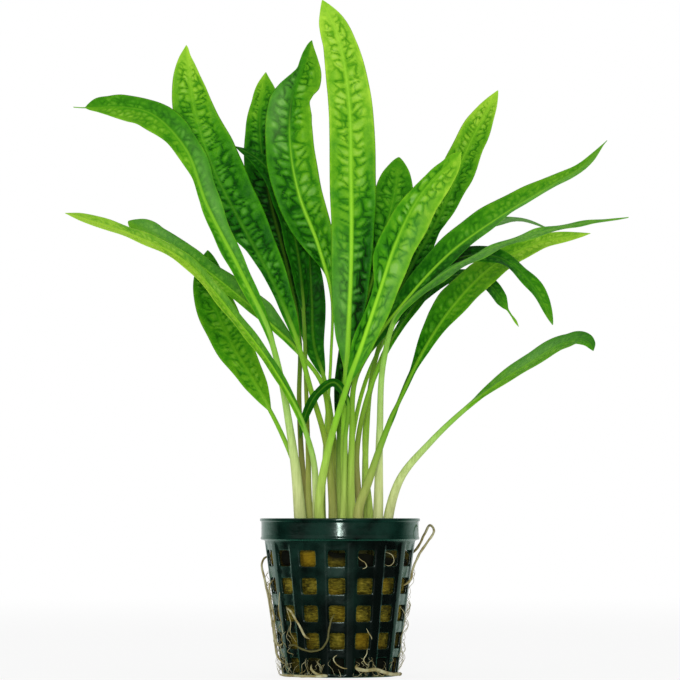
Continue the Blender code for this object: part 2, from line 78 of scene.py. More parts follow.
# %% [markdown]
# ## Numbers that repeat
#
# Leaves and wool are irregular, but a lesson has to give the same plant on each run. So nothing is drawn
# from a random generator. The fraction of a large sine is as good as random and depends only on the
# place it is asked for. Noise joins such numbers smoothly, and blisters measure how far a place is from
# the seams between irregular cells, which is just how a crinkled leaf puffs up between its veins.

# %% Scattered numbers and noise
SCATTER_STEPS = (127.1, 311.7, 74.7)
SCATTER_HEIGHT = 43758.5453


def scatter(i, j, k):
    """A number from 0 to 1 for each whole-number place: the fraction of a large sine."""
    turns = i * SCATTER_STEPS[0] + j * SCATTER_STEPS[1] + k * SCATTER_STEPS[2]
    return np.mod(np.sin(turns) * SCATTER_HEIGHT, 1.0)


def soft_noise(x, y, z):
    """Smooth noise from -1 to 1: scattered numbers on a cubic grid, joined by 3t^2 - 2t^3."""
    i, j, k = np.floor(x), np.floor(y), np.floor(z)
    a, b, c = (t * t * (3 - 2 * t) for t in (x - i, y - j, z - k))
    total = 0.0
    for di in (0, 1):
        for dj in (0, 1):
            for dk in (0, 1):
                share = (a if di else 1 - a) * (b if dj else 1 - b) * (c if dk else 1 - c)
                total = total + share * scatter(i + di, j + dj, k + dk)
    return 2 * total - 1


print("noise at three places:", soft_noise(np.array([0.2, 1.7, 5.1]), 0.5, 0.5).round(3))


# %% Blisters between seams
def blisters(u, v, seed):
    """0 on a seam and near 1 inside a cell: the distance to the second nearest of some
    scattered points less the distance to the nearest, with one point in each unit square."""
    i, j = np.floor(u), np.floor(v)
    nearest = np.full(np.shape(u), 9.0)
    second = nearest
    for di in (-1, 0, 1):
        for dj in (-1, 0, 1):
            x = i + di + 0.1 + 0.8 * scatter(i + di, j + dj, seed)
            y = j + dj + 0.1 + 0.8 * scatter(i + di, j + dj, seed + 19)
            away = np.hypot(u - x, v - y)
            second = np.minimum(second, np.maximum(nearest, away))
            nearest = np.minimum(nearest, away)
    return second - nearest


def smoothstep(value, low, high):
    """0 below low, 1 above high, and 3t^2 - 2t^3 between them."""
    t = np.clip((value - low) / (high - low), 0.0, 1.0)
    return t * t * (3 - 2 * t)


print("blisters at three places:", blisters(np.array([0.2, 1.7, 5.1]), 0.5, 1).round(3))

# %% [markdown]
# ## From arrays to a mesh
#
# Every surface below is worked out as whole arrays of points. A few helpers turn them into Blender
# meshes. Faces are rows of four numbers, the last of which is -1 in a triangle. One helper makes the quads
# of a tube from its rings, with a point at each end. One joins many small surfaces into one. One welds
# points that fall on the same place, so that seams and poles close.

# %% From points and faces to a piece
def add_piece(name, points, faces, material, attributes=None):
    """A closed mesh of points in millimetres that rides on the plant. An attribute holds one number for
    each point."""
    mesh = bpy.data.meshes.new(name)
    quads = faces[faces[:, 3] >= 0]
    triangles = faces[faces[:, 3] < 0][:, :3]
    corners = np.concatenate([quads.ravel(), triangles.ravel()])
    mesh.vertices.add(len(points))
    mesh.vertices.foreach_set("co", (points * MM).astype(np.float32).ravel())
    mesh.loops.add(len(corners))
    mesh.loops.foreach_set("vertex_index", corners.astype(np.int32))
    mesh.polygons.add(len(faces))
    starts = np.concatenate([np.arange(len(quads)) * 4, quads.size + np.arange(len(triangles)) * 3])
    mesh.polygons.foreach_set("loop_start", starts.astype(np.int32))
    mesh.update(calc_edges=True)
    mesh.validate()
    mesh.shade_smooth()
    for label, values in (attributes or {}).items():
        mesh.attributes.new(label, "FLOAT", "POINT").data.foreach_set("value", values.astype(np.float32))
    mesh.materials.append(material)
    piece = bpy.data.objects.new(name, mesh)
    bpy.context.scene.collection.objects.link(piece)
    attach(piece, "root")
    return piece


print("a millimetre in Blender's metres:", MM)


# %% Tubes, joining and welding
def tube_faces(rings, around):
    """Quads between rings, and a fan of triangles to the start point and the end point, which come last."""
    ring, k = np.meshgrid(np.arange(rings - 1), np.arange(around), indexing="ij")
    following = (k + 1) % around
    quads = np.stack([ring * around + k, (ring + 1) * around + k,
                      (ring + 1) * around + following, ring * around + following], axis=-1).reshape(-1, 4)
    k = np.arange(around)
    following = (k + 1) % around
    last = (rings - 1) * around
    none = np.full(around, -1)
    start_fan = np.stack([np.full(around, rings * around), k, following, none], axis=1)
    end_fan = np.stack([np.full(around, rings * around + 1), last + following, last + k, none], axis=1)
    return np.concatenate([quads, start_fan, end_fan])


def joined(parts):
    """Many pairs of points and faces as one pair, in which each part's faces count on from the points
    before it."""
    starts = np.cumsum([0] + [len(points) for points, _ in parts])
    faces = [np.where(faces < 0, -1, faces + start) for (_, faces), start in zip(parts, starts)]
    return np.concatenate([points for points, _ in parts]), np.concatenate(faces)


def weld(points, faces):
    """Points within a thousandth of a millimetre become one. A quad that loses a corner becomes a
    triangle."""
    keys = np.round(points * 1000).astype(np.int64)
    _, first, place = np.unique(keys, axis=0, return_index=True, return_inverse=True)
    faces = place.ravel()[faces]
    same = faces == np.roll(faces, -1, axis=1)
    for corner in range(4):
        lost = same[:, corner]
        faces[lost] = np.roll(faces[lost], -corner - 1, axis=1)
    faces[same.any(axis=1), 3] = -1
    return points[first], faces[same.sum(axis=1) < 2]


print("a tube of 3 rings of 8 has", len(tube_faces(3, 8)), "faces")

# %% [markdown]
# ## Where the leaves go
#
# A leaf could be modelled once and copied, but no two here are alike, so each is listed. Its route is the
# line that its midrib follows from the pot's rim to the tip, and its foot is its place in the wool. Blade
# is the blade's length and greatest width, stalk is the stalk's thickness at both ends, and faces are the
# directions in which its upper side looks. All lengths are in millimetres. These are the lines of the
# imported solids, apart from a few tips and halves that now lie closer to the photograph.
#
# The rest is the leaf's own look, with painted light and shade. From the blade's base to its tip, tone says
# how light it is, which holds painted shade where the leaf lies in shadow, and rib how pale its midrib is.
# Halves makes its left and right halves lighter, as painted light, and darker, as painted shade, and sides
# makes them fuller, in rows of (place, left, right). Patches and bloom are soft spots, as rows of (place,
# across, length, width, amount): the first change the tone, as blotches and as painted shade in folds, and
# the second paint a grey sheen, a painted reflection. Sheen is the painted highlight on its blisters, pucker
# their depth, pitch their size and ripple the margin's. A leaf with a drip ends in a narrow tail, and a
# small tip power makes a blunt tip.

# %% The leaves
LEAVES = {
    "leaf_left_arching": dict(
        route=[(-13.7, -3, 55), (-15.1, -4, 70), (-17.4, -6, 86), (-19.8, -8, 100), (-24.2, -11, 117),
               (-34.2, -14, 138.5), (-45.8, -17, 161.5), (-52.6, -19, 179.4), (-63, -20, 190.5),
               (-90.6, -22, 193.5)],
        foot=(-13, -2.5), blade=(117, 10.6), stalk=(3.2, 2),
        faces=[(0.3, -0.95, 0.1), (0.35, -0.9, 0.3), (0.15, -0.6, 0.75)],
        tone=(0.45, 0.52, 0.5, 0.5, 0.55), rib=(0.6, 0.6, 0.35, 0.1), painted_light_halves=(0.14, -0.03),
        patches=[(0.66, 0.45, 0.04, 0.3, -0.16), (0.57, 0.4, 0.03, 0.25, -0.14),
                 (0.3, -0.7, 0.13, 0.4, -0.26)],
        painted_sheen=[(0.45, 0.5, 0.2, 0.4, 0.35)],
        sides=[(0, 1, 1), (0.08, 0.85, 0.85), (0.3, 0.8, 0.82), (0.4, 0.65, 0.95), (0.47, 0.35, 1.1),
               (0.54, 0.4, 1.1), (0.62, 0.8, 1.1), (0.68, 1.05, 1.35), (0.73, 1.35, 1.3), (0.78, 1.75, 1.3),
               (0.84, 2, 1.4), (0.9, 1.6, 1.85), (0.94, 1.4, 2.8), (0.97, 2, 3), (1, 2.3, 2.3)],
        stalk_tint="pale", pucker=0.16, drip=0.035, tip_power=0.42),
    "leaf_left_broad": dict(
        route=[(-2.4, -3, 55), (-5.1, -3, 81), (-10, -1, 98), (-14.8, 1, 115), (-23.1, 3, 135),
               (-34.8, 6, 157), (-43, 8, 173), (-50.5, 10, 195.5), (-53.4, 12, 218.3)],
        foot=(-2.2, -3.5), blade=(113, 15.8), stalk=(2.2, 1.7),
        faces=[(0.1, -1, 0.1), (0, -1, 0.1), (-0.1, -1, 0)],
        tone=(0.38, 0.36, 0.32, 0.4, 0.66, 0.96), rib=(0.05, 0.1, 0.15), painted_light_halves=(-0.05, 0.02),
        sides=[(0, 1, 1), (0.05, 0.6, 1), (0.15, 0.36, 1), (0.25, 0.33, 1.05), (0.33, 0.45, 1.12),
               (0.43, 0.9, 1.2), (0.5, 1, 1.2), (0.58, 1, 1.3), (0.67, 1.05, 1.28), (0.76, 1.1, 1.13),
               (0.86, 1.25, 1), (0.94, 1.4, 0.75), (0.975, 1.5, 0.5), (1, 1.2, 1)],
        stalk_tint="olive", pucker=0.5, sheen=0.2),
    "leaf_low_left_front": dict(
        route=[(-7.9, -8, 55), (-9.5, -11, 76), (-13.3, -14, 87.4), (-22.7, -19, 104.6),
               (-35.8, -25, 122), (-53.8, -33, 141.5), (-70.4, -39, 149.2), (-91.8, -45, 155.8)],
        foot=(-7.2, -6.5), blade=(118, 10.5), stalk=(2.2, 1.6),
        faces=[(0.3, -0.6, 0.6), (0.3, -0.5, 0.8), (0.1, -0.5, 0.85)],
        tone=(0.54, 0.64, 0.8, 0.92, 1), rib=(0.9, 0.5, 0), painted_light_halves=(0.1, -0.1),
        painted_sheen=[(0.5, 0.6, 0.3, 0.4, 0.2)],
        sides=[(0, 1, 1), (0.15, 0.7, 0.9), (0.3, 0.8, 0.82), (0.45, 0.95, 0.9), (0.6, 1, 1), (0.8, 1, 1),
               (0.9, 1.4, 1.4), (0.96, 1.9, 1.9), (1, 1.8, 1.8)],
        stalk_tint="pale", pucker=0.1, ripple=0.2),
    "leaf_low_left_back": dict(
        route=[(-2.7, 2, 55), (-3.4, 3, 81), (-7.2, 4, 102.3), (-14.5, 5, 111.3), (-30.8, 9, 127),
               (-47.6, 14, 140.8), (-60.9, 18, 150.8), (-74, 22, 157.7)],
        foot=(-2.6, 1.8), blade=(78, 11), stalk=(1.9, 1.5),
        faces=[(0.3, -0.7, 0.6), (0.3, -0.7, 0.7), (0.2, -0.7, 0.7)],
        tone=(0.46, 0.52, 0.58, 0.6), rib=(0.8, 0.5, 0), painted_light_halves=(0.12, -0.04),
        painted_sheen=[(0.85, 0.5, 0.15, 0.6, 0.4), (0.3, 0.7, 0.3, 0.5, 0.3)],
        sides=[(0, 1, 1), (0.08, 0.7, 1.5), (0.25, 0.6, 1.75), (0.4, 0.7, 1.25), (0.55, 1, 0.95),
               (0.7, 1, 0.85), (0.85, 1.1, 0.95), (0.95, 1.7, 1.7), (1, 1.6, 1.6)],
        stalk_tint="olive", pucker=0.08, ripple=0.2, tip_power=0.4),
    "leaf_left_back": dict(
        route=[(-12.7, 5, 55), (-15.2, 9, 70.6), (-20.8, 13, 84.5), (-27.8, 17, 97.8),
               (-39.3, 26, 117.7), (-45.6, 34, 134.2), (-46.8, 42, 148.8)],
        foot=(-12.2, 3.8), blade=(68, 14), stalk=(1.7, 1.4),
        faces=[(0.2, -0.9, 0.3), (0.1, -0.95, 0.3), (0, -0.9, 0.4)],
        tone=(0.66, 0.58, 0.38), rib=(0.2, 0.1),
        stalk_tint="bright", pucker=0.34),
    "leaf_back_left": dict(
        route=[(-11.4, 8, 55), (-13.1, 12, 72.4), (-14.2, 18, 95), (-14.1, 26, 116.1),
               (-18.3, 34, 140.9), (-25.4, 43, 169.7), (-28.6, 51, 195.1), (-26.5, 57, 213.5)],
        foot=(-10.6, 7.8), blade=(99, 14), stalk=(1.9, 1.5),
        faces=[(0.1, -1, 0.2), (0.1, -1, 0.3), (0, -0.95, 0.3)],
        # Its middle is painted near black, a painted shade on the face that lies in shadow.
        tone=(0.12, 0.02, -0.06, 0.28, 0.8), rib=(0.1, 0.1), painted_light_halves=(0.12, -0.06),
        sides=[(0, 1, 1), (0.62, 1.04, 1), (0.7, 0.95, 1), (0.76, 0.84, 1.15), (0.82, 0.82, 1.4),
               (0.88, 0.8, 1.65), (0.95, 1, 1.5), (1, 1, 1)],
        stalk_tint="brown", pucker=0.45, sheen=0.05),
    "leaf_back_arching": dict(
        route=[(-10.3, 4, 55), (-11, 7, 77.5), (-11.8, 10, 101.8), (-12.5, 12, 122.7), (-15, 15, 147.2),
               (-19.5, 19, 164.8), (-27.3, 22, 178), (-36.8, 25, 184.2)],
        foot=(-9, 3.4), blade=(68, 10), stalk=(1.7, 1.3),
        faces=[(0.4, -0.9, 0.1), (0.4, -0.8, 0.3), (0.3, -0.65, 0.7)],
        tone=(0.12, 0.22, 0.26), rib=(0.1, 0.1),
        stalk_tint="olive", pucker=0.2, sheen=0.05),
    "leaf_twisted": dict(
        route=[(-6.2, 4, 55), (-5.5, 6, 81), (-3.5, 7, 108.6), (-3.5, 8, 132.8), (-7.6, 8, 148.4),
               (-14.2, 7, 166), (-17.3, 7, 184.7), (-16.6, 9, 199.5), (-12.9, 12, 211.3),
               (-9.7, 14, 220.2)],
        foot=(-5.8, 4.8), blade=(96, 17), stalk=(2, 1.6),
        faces=[(0.2, -1, 0), (0, -1, 0.1), (-0.3, -0.9, 0.3), (0.8, -0.6, 0.1)],
        tone=(0.4, 0.4, 0.45, 0.5, 0.48, 0.56), rib=(0.9, 0.95, 0.95, 0.4, 0, 0), painted_light_halves=(-0.03, 0.16),
        patches=[(0.72, 0, 0.05, 0.1, -0.3), (0.84, -0.2, 0.04, 0.5, -0.08)],
        painted_sheen=[(0.72, -0.55, 0.12, 0.35, 0.35)],
        sides=[(0, 0.12, 1), (0.1, 0.12, 0.9), (0.13, 0.3, 0.95), (0.17, 0.58, 1), (0.22, 0.86, 1),
               (0.28, 1, 1), (0.7, 1.03, 1), (0.76, 1.03, 0.84), (0.8, 0.82, 1), (0.84, 0.55, 1.35),
               (0.88, 0.32, 1.5), (0.92, 0.4, 1.6), (0.96, 0.7, 1.7), (1, 1.2, 1.2)],
        stalk_tint="bright", pucker=0.55, pitch=1.35, sheen=0.4),
    "leaf_tall": dict(
        route=[(2, -7, 55), (1.4, -7.2, 77.3), (1.7, -7.3, 94.4), (2.7, -7.2, 115), (3.8, -7, 142.3),
               (3.8, -8, 169.7), (2.7, -10, 200.4), (-0.4, -12, 217.4), (-6.1, -14, 231)],
        foot=(2, -6.2), blade=(128, 16.6), stalk=(2.4, 2),
        faces=[(0.12, -1, 0.03), (0.08, -1, 0.02), (-0.05, -1, 0.04)],
        tone=(0.38, 0.48, 0.64, 0.75, 0.83, 0.9), rib=(0.9, 1, 1, 0.8, 0.5, 0.2),
        patches=[(0.2, 0.6, 0.2, 0.45, -0.34), (0.42, 0.9, 0.15, 0.3, -0.25)],
        painted_sheen=[(0.18, -0.5, 0.16, 0.5, 0.25)],
        sides=[(0, 1, 1), (0.08, 1.25, 1.1), (0.25, 1.06, 1.06), (0.4, 0.9, 1.03), (0.6, 0.88, 1),
               (0.75, 0.95, 1), (0.88, 1.12, 1.05), (0.95, 1.5, 1.3), (1, 1.3, 1.3)],
        stalk_tint="bright", pucker=0.5, pitch=1.35, sheen=0.25),
    "leaf_right_front": dict(
        route=[(-7.1, -12, 55), (-4.4, -14.5, 75.5), (1.4, -18, 95.8), (7.5, -23, 112.7),
               (13.2, -29, 129.6), (18.8, -35, 146.1), (26.7, -43, 161.4), (40.4, -52, 175.7)],
        foot=(-6, -11), blade=(92, 12.4), stalk=(2.6, 1.9),
        faces=[(-0.2, -1, -0.1), (-0.3, -0.9, 0), (-0.2, -0.9, 0.3)],
        tone=(0.4, 0.48, 0.54, 0.62, 0.7), rib=(1, 1, 0.8, 0.3, 0.1), painted_light_halves=(-0.02, 0.14),
        painted_sheen=[(0.45, 0.55, 0.3, 0.3, 0.3)],
        sides=[(0, 1, 1), (0.15, 0.98, 1.05), (0.2, 0.85, 1.05), (0.25, 0.63, 1.07), (0.3, 0.48, 1.08),
               (0.34, 0.43, 1.1), (0.39, 0.53, 1.1), (0.43, 0.76, 1.12), (0.48, 0.98, 1.15),
               (0.55, 1, 1.2), (0.64, 0.92, 1.35), (0.74, 0.76, 1.5), (0.84, 0.68, 1.6),
               (0.92, 0.85, 1.9), (0.97, 1.3, 2.2), (1, 1.5, 1.5)],
        stalk_tint="bright", pucker=0.46, pitch=1.7, sheen=0.5),
    "leaf_right_back": dict(
        route=[(8.3, 6, 55), (9, 10, 81), (11.5, 15, 105.4), (16.7, 20, 123), (24.5, 26, 140.8),
               (34.5, 34, 158.9), (45.3, 43, 185), (56.3, 50, 206.3)],
        foot=(7.4, 5.6), blade=(98, 12.5), stalk=(2, 1.6),
        faces=[(-0.3, -0.8, 0.4), (-0.3, -0.85, 0.4), (-0.2, -0.85, 0.4)],
        tone=(0.06, 0.2, 0.4, 0.56, 0.7, 0.95), rib=(0.05, 0.08, 0.12, 0.4, 0.5), painted_light_halves=(0.08, 0),
        sides=[(0, 1, 1), (0.2, 1, 0.85), (0.33, 1, 0.72), (0.4, 1, 0.54), (0.45, 1, 0.62),
               (0.52, 1, 0.84), (0.6, 1, 1.05), (0.7, 1.04, 1.12), (0.82, 1.15, 1.1), (0.92, 1.28, 1.1),
               (1, 1.1, 1)],
        stalk_tint="bright", pucker=0.5, sheen=0.2),
    "leaf_back_right": dict(
        route=[(0.4, 1, 55), (-0.3, 6, 81), (0.7, 11, 98.3), (4.2, 17, 114.2), (9.8, 24, 131.9),
               (16.1, 34, 155.3), (19.5, 43, 170.1), (21, 51, 182.5)],
        foot=(1, 1.2), blade=(112, 12.6), stalk=(2, 1.6),
        faces=[(-0.1, -1, 0.3), (-0.1, -1, 0.3), (0, -0.9, 0.4)],
        tone=(0.04, 0.05, 0.08, 0.26, 0.5, 0.56), rib=(0.1, 0.35, 0.3, 0),
        sides=[(0, 1, 1), (0.1, 0.9, 0.9), (0.3, 0.9, 0.9), (0.5, 1, 1), (0.72, 1.12, 1.1),
               (0.85, 1.35, 1.3), (0.94, 1.4, 1.25), (1, 1.2, 1.1)],
        stalk_tint="bright", pucker=0.4, pitch=1.3, sheen=0.08, tip_power=0.36),
    "leaf_long_right": dict(
        route=[(4.1, -9, 55), (4.1, -9, 81), (5.8, -9, 103), (11.3, -9, 113), (23.6, -9, 129.5),
               (38.3, -8, 145), (54.5, -6, 156.9), (74.2, -3, 169), (83.2, -1.5, 174.6), (92, 0, 184.1)],
        foot=(5, -9.4), blade=(112, 11.4), stalk=(2.2, 1.7),
        faces=[(-0.4, -0.75, 0.4), (-0.4, -0.7, 0.5), (-0.4, -0.5, 0.7)],
        tone=(0.2, 0.32, 0.5, 0.62, 0.66), rib=(0.8, 0.8, 0.4, 0),
        patches=[(0.3, 0.7, 0.25, 0.5, -0.2)], painted_sheen=[(0.75, 0.6, 0.25, 0.5, 0.35)],
        sides=[(0, 1, 1), (0.25, 1.1, 0.95), (0.36, 1.2, 0.8), (0.45, 1.32, 0.65), (0.55, 1.42, 0.5),
               (0.62, 1.42, 0.3), (0.7, 1.35, 0.25), (0.78, 1.3, 0.45), (0.86, 1.05, 0.8),
               (0.93, 1.15, 1.3), (1, 1, 1)],
        stalk_tint="bright", pucker=0.12, ripple=0.2, tip_power=0.75),
    "leaf_narrow_right": dict(
        route=[(13, -5, 55), (13.6, -5, 84), (15, -8.5, 108), (19, -14, 122), (30.5, -20, 133.3),
               (52.4, -27, 145.5), (74.1, -31, 151.7), (97.1, -35, 155.1)],
        foot=(12.6, -4.8), blade=(93, 8.6), stalk=(2.6, 1.8),
        faces=[(-0.4, -0.6, 0.6), (-0.2, -0.4, 0.85), (-0.1, -0.4, 0.9)],
        tone=(0.48, 0.52, 0.58, 0.62), rib=(0.3, 0.1), painted_sheen=[(0.5, 0, 0.5, 1.2, 0.28)],
        sides=[(0, 1, 1), (0.1, 0.6, 1.2), (0.3, 0.45, 1.5), (0.5, 0.5, 1.4), (0.65, 0.8, 1),
               (0.85, 0.68, 0.68), (0.93, 0.55, 0.55), (1, 0.6, 0.6)],
        stalk_tint="pale", pucker=0.15),
    "leaf_low_right": dict(
        route=[(6.1, -13.5, 55), (9.9, -12.5, 67), (15, -11, 81.7), (21.3, -7, 96.2), (29.6, -3, 112.8),
               (39.3, 1, 127.1), (52.9, 5, 140.8), (67.3, 8, 148.7), (86.9, 11, 152.7)],
        foot=(7.2, -14.2), blade=(106, 11.2), stalk=(2.7, 1.9),
        faces=[(-0.3, -0.8, 0.4), (-0.3, -0.7, 0.6), (-0.2, -0.7, 0.7)],
        tone=(0.28, 0.3, 0.48, 0.66, 0.84, 0.92), rib=(0.3, 0.5, 0.5, 0.2), painted_light_halves=(-0.03, 0.05),
        sides=[(0, 1, 1), (0.08, 0.35, 0.3), (0.2, 0.36, 0.3), (0.31, 0.85, 0.5), (0.4, 1.25, 0.8),
               (0.48, 1.4, 1.05), (0.56, 1.3, 1.2), (0.68, 1, 1.15), (0.85, 1, 1), (1, 1, 1)],
        stalk_tint="olive", pucker=0.16, ripple=0.25),
    "leaf_nodding": dict(
        route=[(6.8, -4, 55), (5.8, -5, 77.3), (9.6, -6, 96.1), (17.1, -6, 113.2), (27.4, -6, 128.7),
               (41.1, -6, 142.9), (54.8, -8, 142.8), (65.9, -11, 133), (72.5, -14, 119.7)],
        foot=(7, -3.6), blade=(88, 8.4), stalk=(1.9, 1.5),
        faces=[(-0.5, -0.6, 0.6), (-0.3, -0.55, 0.8), (0.4, -0.6, 0.7), (0.7, -0.6, 0.2)],
        tone=(0.42, 0.34, 0.08, 0.42, 0.58), rib=(0.1, 0.1),
        sides=[(0, 1, 1), (0.3, 1.1, 1), (0.45, 1.4, 1), (0.55, 1.4, 1), (0.64, 1.05, 1),
               (0.75, 0.95, 1), (0.9, 1.45, 1), (1, 1.4, 1)],
        stalk_tint="brown", pucker=0.06, sheen=0.02, tip_power=0.42),
    "leaf_curled": dict(
        route=[(10.3, 0, 55), (8.9, 3, 70.6), (8.6, 7, 84.4), (11.1, 11, 100), (17.4, 15, 115.8),
               (27.9, 19, 129.9), (40.1, 22, 138.5), (51.7, 25, 135.8), (57.7, 26, 128.2),
               (62.6, 27, 120.9)],
        foot=(10.4, 0.6), blade=(56, 7.4), stalk=(1.7, 1.3),
        faces=[(-0.4, -0.6, 0.7), (0.1, -0.6, 0.8), (0.7, -0.6, 0.3)],
        tone=(0.12, 0.14, 0.2, 0.3, 0.85), rib=(0.1, 0.1),
        sides=[(0, 1, 1), (0.5, 1, 1), (0.7, 1.2, 1.15), (0.8, 1.2, 1.2), (0.845, 0.75, 0.75),
               (0.87, 0.24, 0.24), (0.92, 0.24, 0.24), (0.94, 0.6, 0.5), (0.97, 1, 0.8), (1, 1, 1)],
        stalk_tint="bright", pucker=0.06, ripple=0.1, sheen=0.02),
    "leaf_outer_right": dict(
        route=[(16.8, -2, 55), (20.5, -4, 67.1), (30.7, -8, 79.7), (47.7, -14, 95.2), (64.7, -19, 106.8),
               (76.2, -22.8, 113.3), (81.3, -24.5, 114.5), (84.3, -25.6, 112.9), (85.6, -26, 110.4)],
        foot=(15.8, -1.6), blade=(54, 9.4), stalk=(2.8, 1.7),
        faces=[(-0.4, -0.5, 0.75), (-0.3, -0.5, 0.8), (0.2, -0.5, 0.8)],
        tone=(0.62, 0.6, 0.58, 0.36), rib=(0.3, 0.1), painted_light_halves=(-0.04, 0.1),
        painted_sheen=[(0.55, -0.4, 0.3, 0.6, 0.4)],
        sides=[(0, 1, 0.7), (0.2, 1.1, 0.8), (0.4, 1.2, 1), (0.6, 1.25, 1.1), (0.8, 1.3, 1.3),
               (0.92, 1.8, 1.8), (1, 1.6, 1.6)],
        stalk_tint="pale", pucker=0.06, ripple=0.1, sheen=0.02),
    "leaf_behind_right": dict(
        route=[(2.8, 8, 55), (4.2, 15, 81), (9.1, 23, 102.2), (19.7, 32, 123.5), (35.4, 42, 144.5),
               (51.6, 52, 157.9), (64.3, 58, 160.5), (76, 62, 157.2)],
        foot=(2.6, 7.6), blade=(78, 7.5), stalk=(1.7, 1.3),
        faces=[(-0.3, -0.5, 0.8), (-0.2, -0.4, 0.9), (0.1, -0.4, 0.9)],
        tone=(0.4, 0.5), rib=(0.2, 0), painted_sheen=[(0.7, 0, 0.4, 1.2, 0.5)],
        stalk_tint="bright", pucker=0.15),
    "leaf_small_front": dict(
        route=[(1, -11.4, 55), (1.8, -11.8, 80.6), (1.8, -12.2, 95.8), (-2, -11.8, 100.1),
               (-7.4, -10.8, 96.6), (-11.8, -9.8, 88.7), (-13.8, -9, 80.9)],
        foot=(0.8, -11.4), blade=(34, 4.6), stalk=(1.6, 1.3),
        faces=[(0.3, -0.9, 0.3), (-0.2, -0.6, 0.8), (-0.7, -0.6, 0.2)],
        tone=(0.18, 0.22), rib=(0.2, 0.1),
        stalk_tint="bright", pucker=0.15, sheen=0.05),
    "leaf_centre_back": dict(
        route=[(-1, 5, 55), (-2.1, 9, 81), (-5.2, 13, 101.2), (-9, 17, 114.1), (-9.8, 20.5, 130),
               (-10.9, 24, 149.6)],
        foot=(-1.5, 5.8), blade=(48, 9.4), stalk=(1.8, 1.5),
        faces=[(0.1, -1, 0.3), (0, -0.95, 0.3), (-0.1, -0.9, 0.4)],
        tone=(0.3, 0.16, 0.14), rib=(0.15, 0.1),
        stalk_tint="olive", pucker=0.08, sheen=0.05),
}
print(len(LEAVES), "leaves, the longest blade is", max(leaf["blade"][0] for leaf in LEAVES.values()), "mm")

# %% [markdown]
# ## The midrib's line
#
# A leaf bends in one sweep, so its midrib could be a Bezier curve, but then its handles would need
# placing too. A cubic Hermite line goes through the listed points and takes its directions from their
# neighbours, which leaves nothing to set. It is then read again at even steps of its own length, because
# every width and ripple below depends on how far along the leaf it is.

# %% The line and its frame
STALK_FOOT = 38.0
STALK_STRAIGHT = 4.0
STALK_STEP = 2.0
BLADE_STEP = 0.42
EVEN_SHARE = 0.6
SAMPLES_PER_POINT = 60


def unit(vectors):
    """The vectors of an array, each scaled to length 1."""
    return vectors / np.linalg.norm(vectors, axis=-1, keepdims=True)


def smooth_line(points):
    """A cubic Hermite line through the points, as many fine points and their distances from its start."""
    points = np.asarray(points, float)
    chords = np.linalg.norm(np.diff(points, axis=0), axis=1)
    at = np.concatenate([[0.0], np.cumsum(chords)])
    tangents = np.gradient(points, at, axis=0)
    fine = np.linspace(0.0, at[-1], SAMPLES_PER_POINT * len(points))
    k = np.clip(np.searchsorted(at, fine, side="right") - 1, 0, len(at) - 2)
    span = (at[k + 1] - at[k])[:, None]
    t = (fine - at[k])[:, None] / span
    line = ((2 * t**3 - 3 * t**2 + 1) * points[k] + (t**3 - 2 * t**2 + t) * span * tangents[k]
            + (3 * t**2 - 2 * t**3) * points[k + 1] + (t**3 - t**2) * span * tangents[k + 1])
    return line, np.concatenate([[0.0], np.cumsum(np.linalg.norm(np.diff(line, axis=0), axis=1))])


def read_between(wanted, at, rows):
    """Rows of numbers read between the known ones, column by column."""
    rows = np.asarray(rows, float)
    return np.stack([np.interp(wanted, at, rows[:, axis]) for axis in range(rows.shape[1])], axis=1)


def leaf_stations(length, blade_length):
    """Distances from the foot: even steps up the stalk, then steps that shorten towards the tip, where
    the distance is even t + (1 - even) sin(t pi / 2) of the blade's length."""
    start = length - blade_length
    stalk = np.linspace(0.0, start, int(start / STALK_STEP))[:-1]
    t = np.linspace(0.0, 1.0, int(blade_length / BLADE_STEP))
    blade = EVEN_SHARE * t + (1 - EVEN_SHARE) * np.sin(t * math.pi / 2)
    return np.concatenate([stalk, start + blade_length * blade])


def leaf_frame(leaf):
    """Station distances, midrib points and the directions along, sideways and up at each."""
    x, y = leaf["foot"]
    foot = [(x, y, STALK_FOOT + step * STALK_STRAIGHT) for step in range(3)]
    line, lengths = smooth_line(foot + leaf["route"])
    at = leaf_stations(lengths[-1], leaf["blade"][0])
    middle = read_between(at, lengths, line)
    along = unit(read_between(at, lengths, np.gradient(line, lengths, axis=0)))
    share = np.clip(1 - (at[-1] - at) / leaf["blade"][0], 0.0, 1.0)
    faces = leaf["faces"]
    side = unit(np.cross(along, read_between(share, np.linspace(0, 1, len(faces)), faces)))
    return at, share, middle, side, np.cross(side, along)


print("stations on a leaf 180 mm long with a 90 mm blade:", len(leaf_stations(180.0, 90.0)))

# %% [markdown]
# ## The leaf's surface
#
# The stalk is round and the blade is a thin sheet, but they are one piece without a seam. So a leaf is
# one tube: each ring starts as a circle, and along the blade it flattens until its upper and lower halves
# lie a fraction of a millimetre apart. A grid that is displaced in the shader would be less work, but its
# outline and its exported mesh would stay smooth, and the crinkles are what this plant is known for.
#
# Between the midrib and the smooth margin the sheet puffs up between its veins. The cells of the blisters
# are wider than they are long, slant towards the tip, and get smaller there. The margin ripples slowly.

# %% The outline of a blade
BASE_POWER = 0.7
TIP_POWER = 0.55
DRIP_WIDTH = 0.5
POINT_START, POINT_POWER = 12, 0.35
WAVER, WAVER_LENGTH = 0.035, 11.0
EVEN_SIDES = [(0, 1, 1), (1, 1, 1)]


def blade_outline(share, tip_power):
    """Share of the full width at a share s of the blade: s^base (1 - s)^tip over its own peak."""
    peak = BASE_POWER / (BASE_POWER + tip_power)
    full = peak**BASE_POWER * (1 - peak)**tip_power
    return share**BASE_POWER * (1 - share)**tip_power / full


